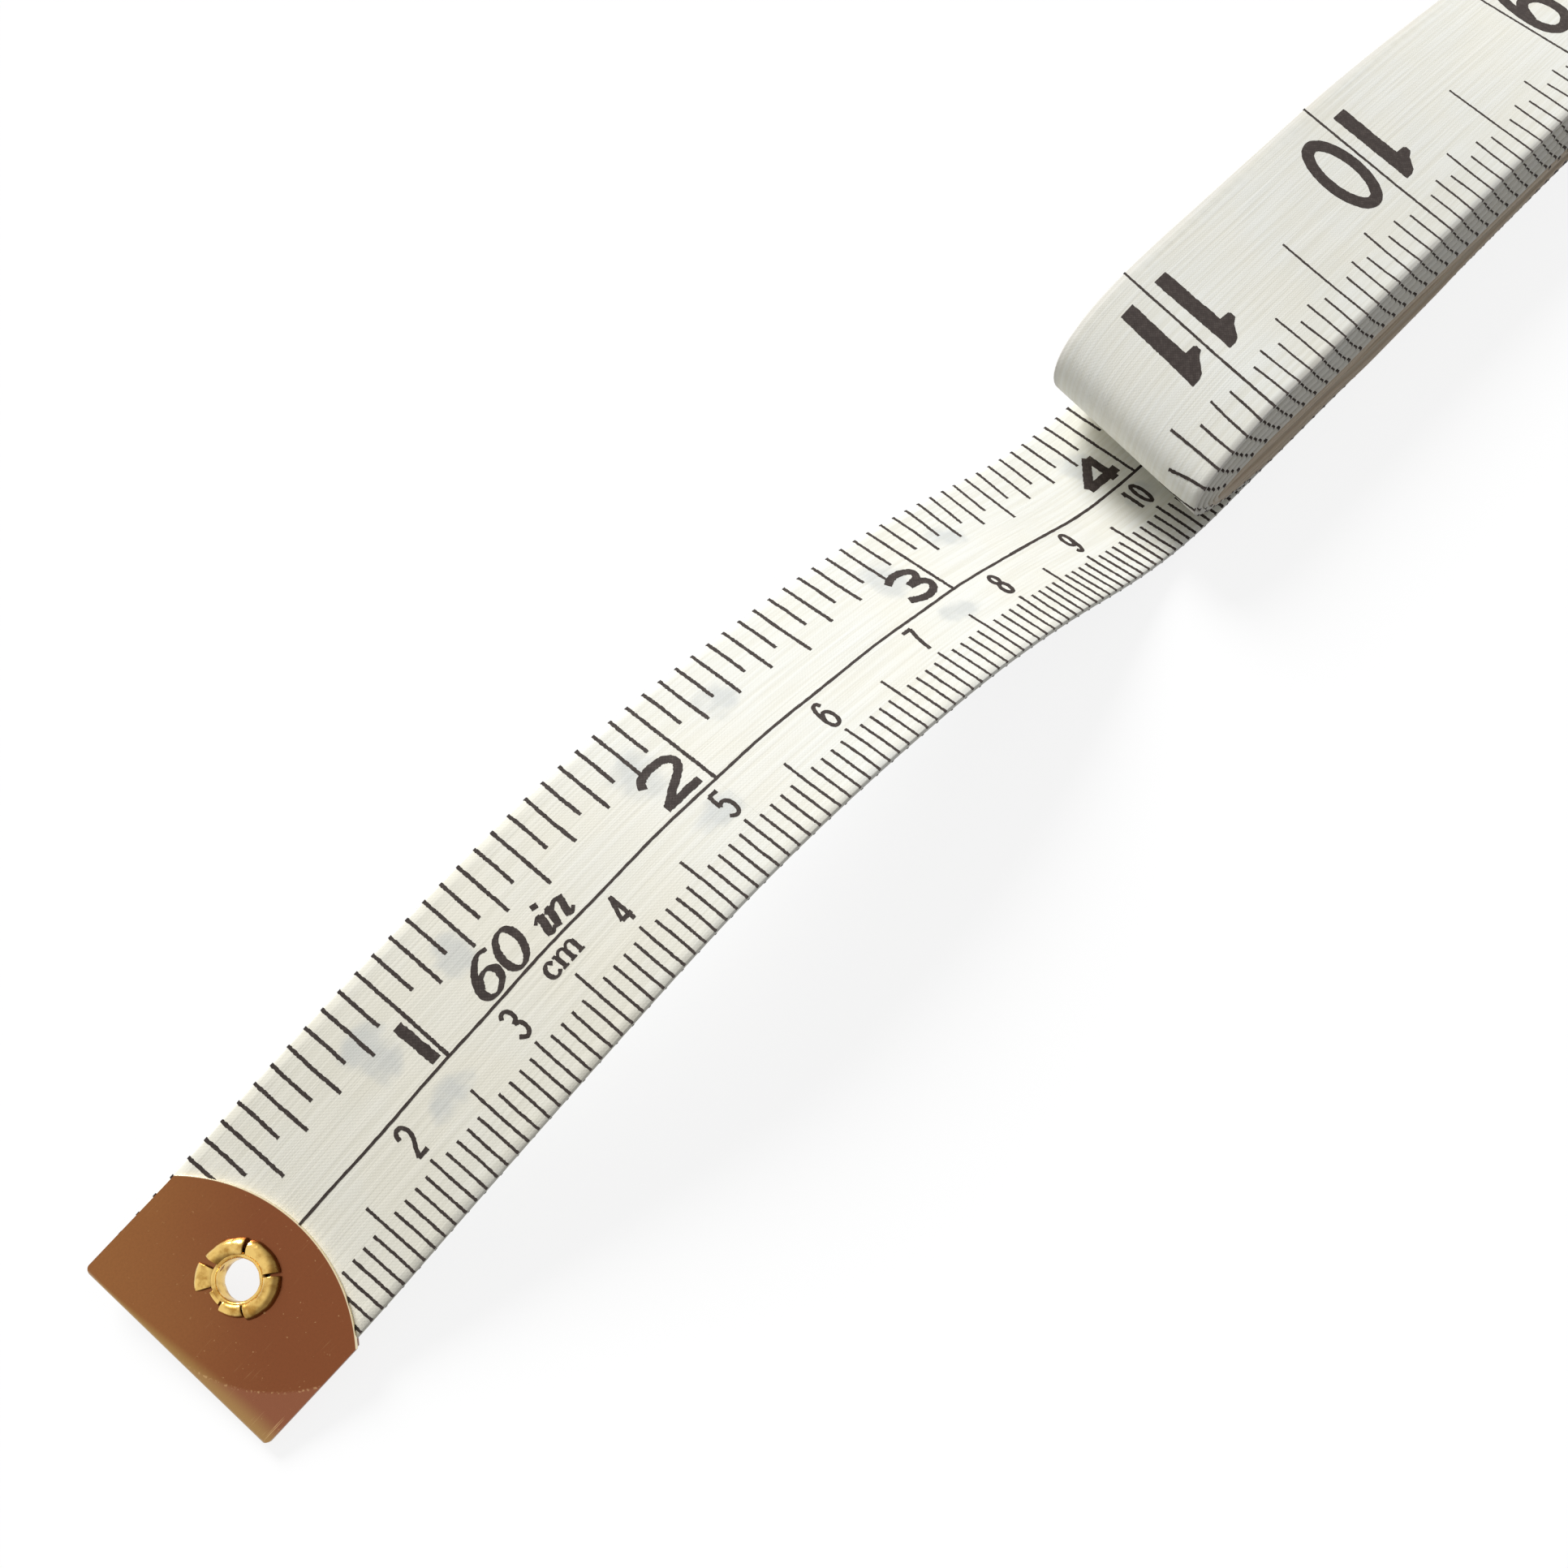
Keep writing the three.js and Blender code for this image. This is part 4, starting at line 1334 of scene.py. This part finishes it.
class TAPE_OT_tab(Operator):
    """Fold the brass tab over the tape's zero end"""

    bl_idname = "tape_measure.tab"
    bl_label = "Brass Tab"

    def execute(self, context):
        tab = self.folded_sheet()
        self.cut_outline(tab)
        apply_modifier(tab, "BEVEL", width=0.045 * MM, segments=2, limit_method="ANGLE",
                       angle_limit=math.radians(50))
        only(tab)
        bpy.ops.object.shade_smooth_by_angle(angle=math.radians(40))
        for face in tab.data.polygons:
            if abs(face.normal.z) > 0.9999:
                face.use_smooth = False
        # The lower leaf lies a little to the side of the upper one.
        for vertex in tab.data.vertices:
            under = float(smooth(-vertex.co.z / MM, -0.1, 0.3))
            vertex.co.y += LEAF_OFFSET * MM * under
        self.lay_plan(tab)
        skew = Matrix.Rotation(TAB_SKEW, 4, "Z")
        skew.translation = Vector((0, TAB_SHIFT, 0)) * MM
        tab.data.transform(tab_place() @ skew)
        tab.data.materials.clear()
        tab.data.materials.append(brass_material(settings().finishes))
        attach(tab, "tab")
        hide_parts("zero_end_tab")
        return {"FINISHED"}

    def folded_sheet(self):
        """Two leaves of brass round a half turn, with some to spare for the cutters."""
        spare = 0.6
        reach = TAB_SIDE + ARCH_RISE + spare
        leaf = (reach - FOLD_RADIUS) * MM
        deselect()
        bpy.ops.mesh.primitive_plane_add(size=1, location=(0, 0, 0))
        tab = added("brass_tab")
        tab.scale = (leaf, (TAB_WIDTH + spare) * MM, 1)
        tab.location = ((reach + FOLD_RADIUS) / 2 * MM, 0, (FOLD_RADIUS - SHEET / 2) * MM)
        apply_place(tab)
        edit(tab, "FACE", anywhere, lambda: bpy.ops.mesh.subdivide(number_cuts=9))
        edge_x = (FOLD_RADIUS + 0.01) * MM

        def fold():
            bpy.ops.mesh.spin(
                steps=14, angle=math.pi, center=(FOLD_RADIUS * MM, 0, 0), axis=(0, 1, 0),
            )
            bpy.ops.mesh.extrude_region_move(TRANSFORM_OT_translate={"value": (leaf, 0, 0)})

        edit(tab, "EDGE", lambda p: p.x < edge_x, fold)
        outermost = min(vertex.co.x for vertex in tab.data.vertices) / MM
        if abs(outermost - SHEET / 2) > 0.01:
            raise RuntimeError("the brass was folded the wrong way")
        merge_doubles(tab, 1e-7)
        apply_modifier(tab, "SOLIDIFY", thickness=SHEET * MM, offset=0.0, use_even_offset=True)
        return tab

    def cut_outline(self, tab):
        """Cuts the arched edge, the rounded outer corners and the hole for the eyelet."""
        deep, long = 6, 14
        radius, centre = arch_shape()
        boolean(tab, round_cutter("arch_cutter", centre, radius, deep, 320), "INTERSECT")
        deselect()
        bpy.ops.mesh.primitive_cube_add(size=1, location=(long / 2 * MM, 0, 0))
        block = added("corner_cutter")
        block.scale = (long * MM, TAB_WIDTH * MM, deep * MM)
        apply_place(block)
        edit(block, "EDGE", lambda p: p.x < 1e-6, lambda: (
            bpy.ops.mesh.bevel(offset=CORNER * MM, segments=5, affect="EDGES")
        ))
        boolean(tab, block, "INTERSECT")
        hole = BORE + EYELET_WALL + BRASS_GAP
        boolean(tab, round_cutter("eyelet_cutter", EYELET_AT, hole, deep, 64), "DIFFERENCE")

    def lay_plan(self, tab):
        """Stores the tab's flat plan in millimetres as its UV map."""
        mesh = tab.data
        plan = np.array([vertex.co[:] for vertex in mesh.vertices]) / MM
        corners = np.zeros(len(mesh.loops), int)
        mesh.loops.foreach_get("vertex_index", corners)
        for layer in list(mesh.uv_layers):
            mesh.uv_layers.remove(layer)
        layer = mesh.uv_layers.new(name="tab")
        layer.data.foreach_set("uv", plan[corners][:, :2].ravel())


class TAPE_OT_eyelet(Operator):
    """Set the eyelet through the tab, with its clinched and split rim"""

    bl_idname = "tape_measure.eyelet"
    bl_label = "Eyelet"

    # Each petal of the split rim: from and to in degrees round the hole from the tape side,
    # how far its roll reaches out, and how high it stands.
    petals = [
        (31, 95, 2.72, 0.62),
        (108, 146, 2.92, 0.30),
        (155, 184, 2.08, 0.34),
        (190, 231, 2.40, 0.50),
        (235, 316, 2.66, 0.58),
        (321, 385, 2.66, 0.60),
    ]

    def ring(self, name, radius, height, half_width, half_height, start, span, steps,
             flat_foot=False):
        """A rolled length of metal round the hole: an oval section, spun through an angle."""
        deselect()
        bpy.ops.mesh.primitive_circle_add(
            vertices=18, radius=1.0, fill_type="NOTHING", location=(0, 0, 0),
            rotation=(math.pi / 2, 0, 0),
        )
        piece = added(name)
        apply_place(piece)
        piece.scale = (half_width * MM, 1, half_height * MM)
        piece.location = (radius * MM, 0, height * MM)
        apply_place(piece)
        if flat_foot:
            edit(piece, "VERT", lambda p: p.z < (height - 0.01) * MM, lambda: (
                bpy.ops.transform.resize(
                    value=(1, 1, 0.12), center_override=(radius * MM, 0, height * MM),
                )
            ))
        piece.rotation_euler = (0, 0, math.radians(start))
        apply_place(piece)
        edit(piece, "EDGE", anywhere, lambda: bpy.ops.mesh.spin(
            steps=steps, angle=math.radians(-span), center=(0, 0, 0), axis=(0, 0, 1),
        ))
        if span == 360:
            merge_doubles(piece, 1e-6)
            return piece
        in_edit(piece, "EDGE")
        bpy.ops.object.mode_set(mode="EDIT")
        bpy.ops.mesh.select_non_manifold(extend=False)
        bpy.ops.mesh.fill_holes(sides=0)
        bpy.ops.mesh.select_all(action="SELECT")
        bpy.ops.mesh.normals_make_consistent(inside=False)
        bpy.ops.object.mode_set(mode="OBJECT")
        apply_modifier(piece, "BEVEL", width=0.05 * MM, segments=2, limit_method="ANGLE",
                       angle_limit=math.radians(60))
        return piece

    def execute(self, context):
        seat = FOLD_RADIUS
        wall = BORE + EYELET_WALL / 2
        # For each length: the radius and height of its section's middle, half the section's
        # width and height, and the start, span and steps of its turn.
        pieces = [
            self.ring("barrel", wall, 0.08, EYELET_WALL / 2, seat + 0.24, 0, 360, 64),
            self.ring("head", 2.05, -seat - 0.1, 0.54, 0.15, 0, 360, 64),
            self.ring("lip", wall + 0.06, seat + 0.17, 0.19, 0.24, 0, 360, 64),
        ]
        inner = BORE + 0.1
        for index, (start, end, reach, height) in enumerate(self.petals):
            half_width = (reach - inner) / 2
            span = end - start
            pieces.append(self.ring(
                f"petal_{index}", inner + half_width, seat + 0.03, half_width, height,
                start, span, max(6, int(span / 5)), flat_foot=True,
            ))
        rim = pieces[0]
        deselect()
        for piece in pieces:
            piece.select_set(True)
        bpy.context.view_layer.objects.active = rim
        bpy.ops.object.join()
        rim.name = "eyelet_rim"
        rim.data.name = "eyelet_rim"
        dents = bpy.data.textures.new("Clinch Dents", "CLOUDS")
        dents.noise_scale = 0.9 * MM
        apply_modifier(rim, "DISPLACE", texture=dents, strength=0.12 * MM, mid_level=0.5,
                       texture_coords="LOCAL")
        only(rim)
        bpy.ops.object.shade_smooth_by_angle(angle=math.radians(50))
        place = tab_place()
        turn = place.to_3x3()
        middle = Vector((EYELET_AT * MM, 0, 0))
        rim.data.transform(Matrix.Translation(middle))
        rim.data.transform(place)
        rim.data.materials.clear()
        rim.data.materials.append(bright_metal(
            "Bright Eyelet Brass", colour(236, 198, 116), colour(176, 132, 62), 1.1,
            # The lit side: metal facing it gets a painted highlight, and metal turned away gets
            # painted shade.
            turn @ Vector((-0.35, 0.75, 0.45)),
            (place @ middle, turn @ Vector((0, 0, 1)), inner * MM),
        ))
        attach(rim, "tab")
        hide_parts("eyelet")
        return {"FINISHED"}


class TAPE_OT_clip(Operator):
    """Give the folded clip on the far end its finish"""

    bl_idname = "tape_measure.clip"
    bl_label = "Far End Clip"

    def execute(self, context):
        clip = frame["nodes"]["far_end_clip"]
        plain, darker = colour(196, 190, 178), colour(150, 142, 128)
        steel = bright_metal("Plated Clip Steel", plain, darker, 0.6)
        if clip.data.materials:
            clip.material_slots[0].material = steel
        else:
            clip.data.materials.append(steel)
        return {"FINISHED"}


class TAPE_OT_stage(Operator):
    """Set the floor, the light and the camera"""

    bl_idname = "tape_measure.stage"
    bl_label = "Stage"

    def execute(self, context):
        self.floor()
        self.light()
        self.camera()
        return {"FINISHED"}

    def seen(self, n):
        """1 for what the camera, metal and glass see, and 0 for what lights the object."""
        path = n.add("ShaderNodeLightPath").outputs
        seen = n.larger(path["Is Camera Ray"], path["Is Glossy Ray"])
        return n.larger(seen, path["Is Transmission Ray"])

    def floor(self):
        deselect()
        bpy.ops.mesh.primitive_plane_add(size=settings().stage.floor, location=(0, 0, 0))
        floor = added("table")
        floor.location.z = -0.01 * MM
        material, n, shader, place = new_material("White Table")
        # The floor that is seen gives off most of its light itself, so the shade on it stays
        # faint. The object is lit by a plain grey one.
        seen = self.seen(n)
        shown = n.mix(n.times(n.noise(place, 900.0), 0.2), (0.155, 0.155, 0.155, 1),
                      (0.145, 0.145, 0.145, 1))
        n.feed(shader.inputs["Base Color"], n.mix(seen, (0.45, 0.45, 0.45, 1), shown))
        n.feed(shader.inputs["Emission Color"], n.mix(seen, (0, 0, 0, 1), (1, 1, 1, 1)))
        shader.inputs["Emission Strength"].default_value = 0.86
        shader.inputs["Roughness"].default_value = 0.95
        shader.inputs["Specular IOR Level"].default_value = 0.0
        floor.data.materials.append(material)

    def light(self):
        world = bpy.data.worlds.new("Studio")
        bpy.context.scene.world = world
        world.use_nodes = True
        world.node_tree.nodes.clear()
        n = Nodes(world.node_tree)
        lit = n.add("ShaderNodeBackground", {
            "Color": (0.985, 0.992, 1.0, 1), "Strength": settings().stage.fill,
        })
        shown = n.add("ShaderNodeBackground", {"Color": (1, 1, 1, 1), "Strength": 1.0})
        both = n.add("ShaderNodeMixShader", {
            0: self.seen(n), 1: lit.outputs[0], 2: shown.outputs[0],
        })
        n.add("ShaderNodeOutputWorld", {"Surface": both.outputs[0]})
        lamp = bpy.data.lights.new("Key", "SUN")
        lamp.energy = settings().stage.key
        lamp.angle = math.radians(26)
        key = bpy.data.objects.new("Key", lamp)
        toward = Vector((0.38, 1.08, 0.76)).normalized()
        key.rotation_euler = toward.to_track_quat("Z", "Y").to_euler()
        bpy.context.scene.collection.objects.link(key)

    def camera(self):
        data = bpy.data.cameras.new("Camera")
        data.sensor_width = 36.0
        data.lens = settings().stage.lens
        data.shift_x = -0.0409
        data.shift_y = 0.2505
        data.clip_start = 0.001
        data.clip_end = 100.0
        camera = bpy.data.objects.new("Camera", data)
        right = Vector(CAMERA_RIGHT)
        ahead = Vector(CAMERA_AHEAD).normalized()
        right = (right - ahead * right.dot(ahead)).normalized()
        turn = Matrix((right, right.cross(ahead), -ahead)).transposed()
        camera.matrix_world = Matrix.Translation(Vector(CAMERA_AT) * MM) @ turn.to_4x4()
        bpy.context.scene.collection.objects.link(camera)
        bpy.context.scene.camera = camera
        bpy.context.scene.view_settings.view_transform = "Standard"


class TAPE_PT_panel(Panel):
    """The tape measure's settings and steps."""

    bl_label = "Tape Measure"
    bl_idname = "TAPE_PT_panel"
    bl_space_type = "VIEW_3D"
    bl_region_type = "UI"
    bl_category = "Tape Measure"

    def draw(self, context):
        layout = self.layout
        held = context.scene.tape_measure
        for group in (held.sizes, held.finishes, held.stage):
            box = layout.box()
            for name in group.__annotations__:
                box.prop(group, name)
        for step in STEPS:
            layout.operator(step.bl_idname)


STEPS = [TAPE_OT_cloth, TAPE_OT_tab, TAPE_OT_eyelet, TAPE_OT_clip, TAPE_OT_stage]
CLASSES = [TapeSizes, TapeFinishes, TapeStage, TapeSettings, *STEPS, TAPE_PT_panel]


def register():
    for made in CLASSES:
        bpy.utils.register_class(made)
    bpy.types.Scene.tape_measure = PointerProperty(type=TapeSettings)


def unregister():
    del bpy.types.Scene.tape_measure
    for made in reversed(CLASSES):
        bpy.utils.unregister_class(made)


def main():
    register()
    bpy.ops.tape_measure.cloth()
    bpy.ops.tape_measure.tab()
    bpy.ops.tape_measure.eyelet()
    bpy.ops.tape_measure.clip()
    bpy.ops.tape_measure.stage()
    bpy.context.view_layer.update()


if __name__ == "__main__":
    main()
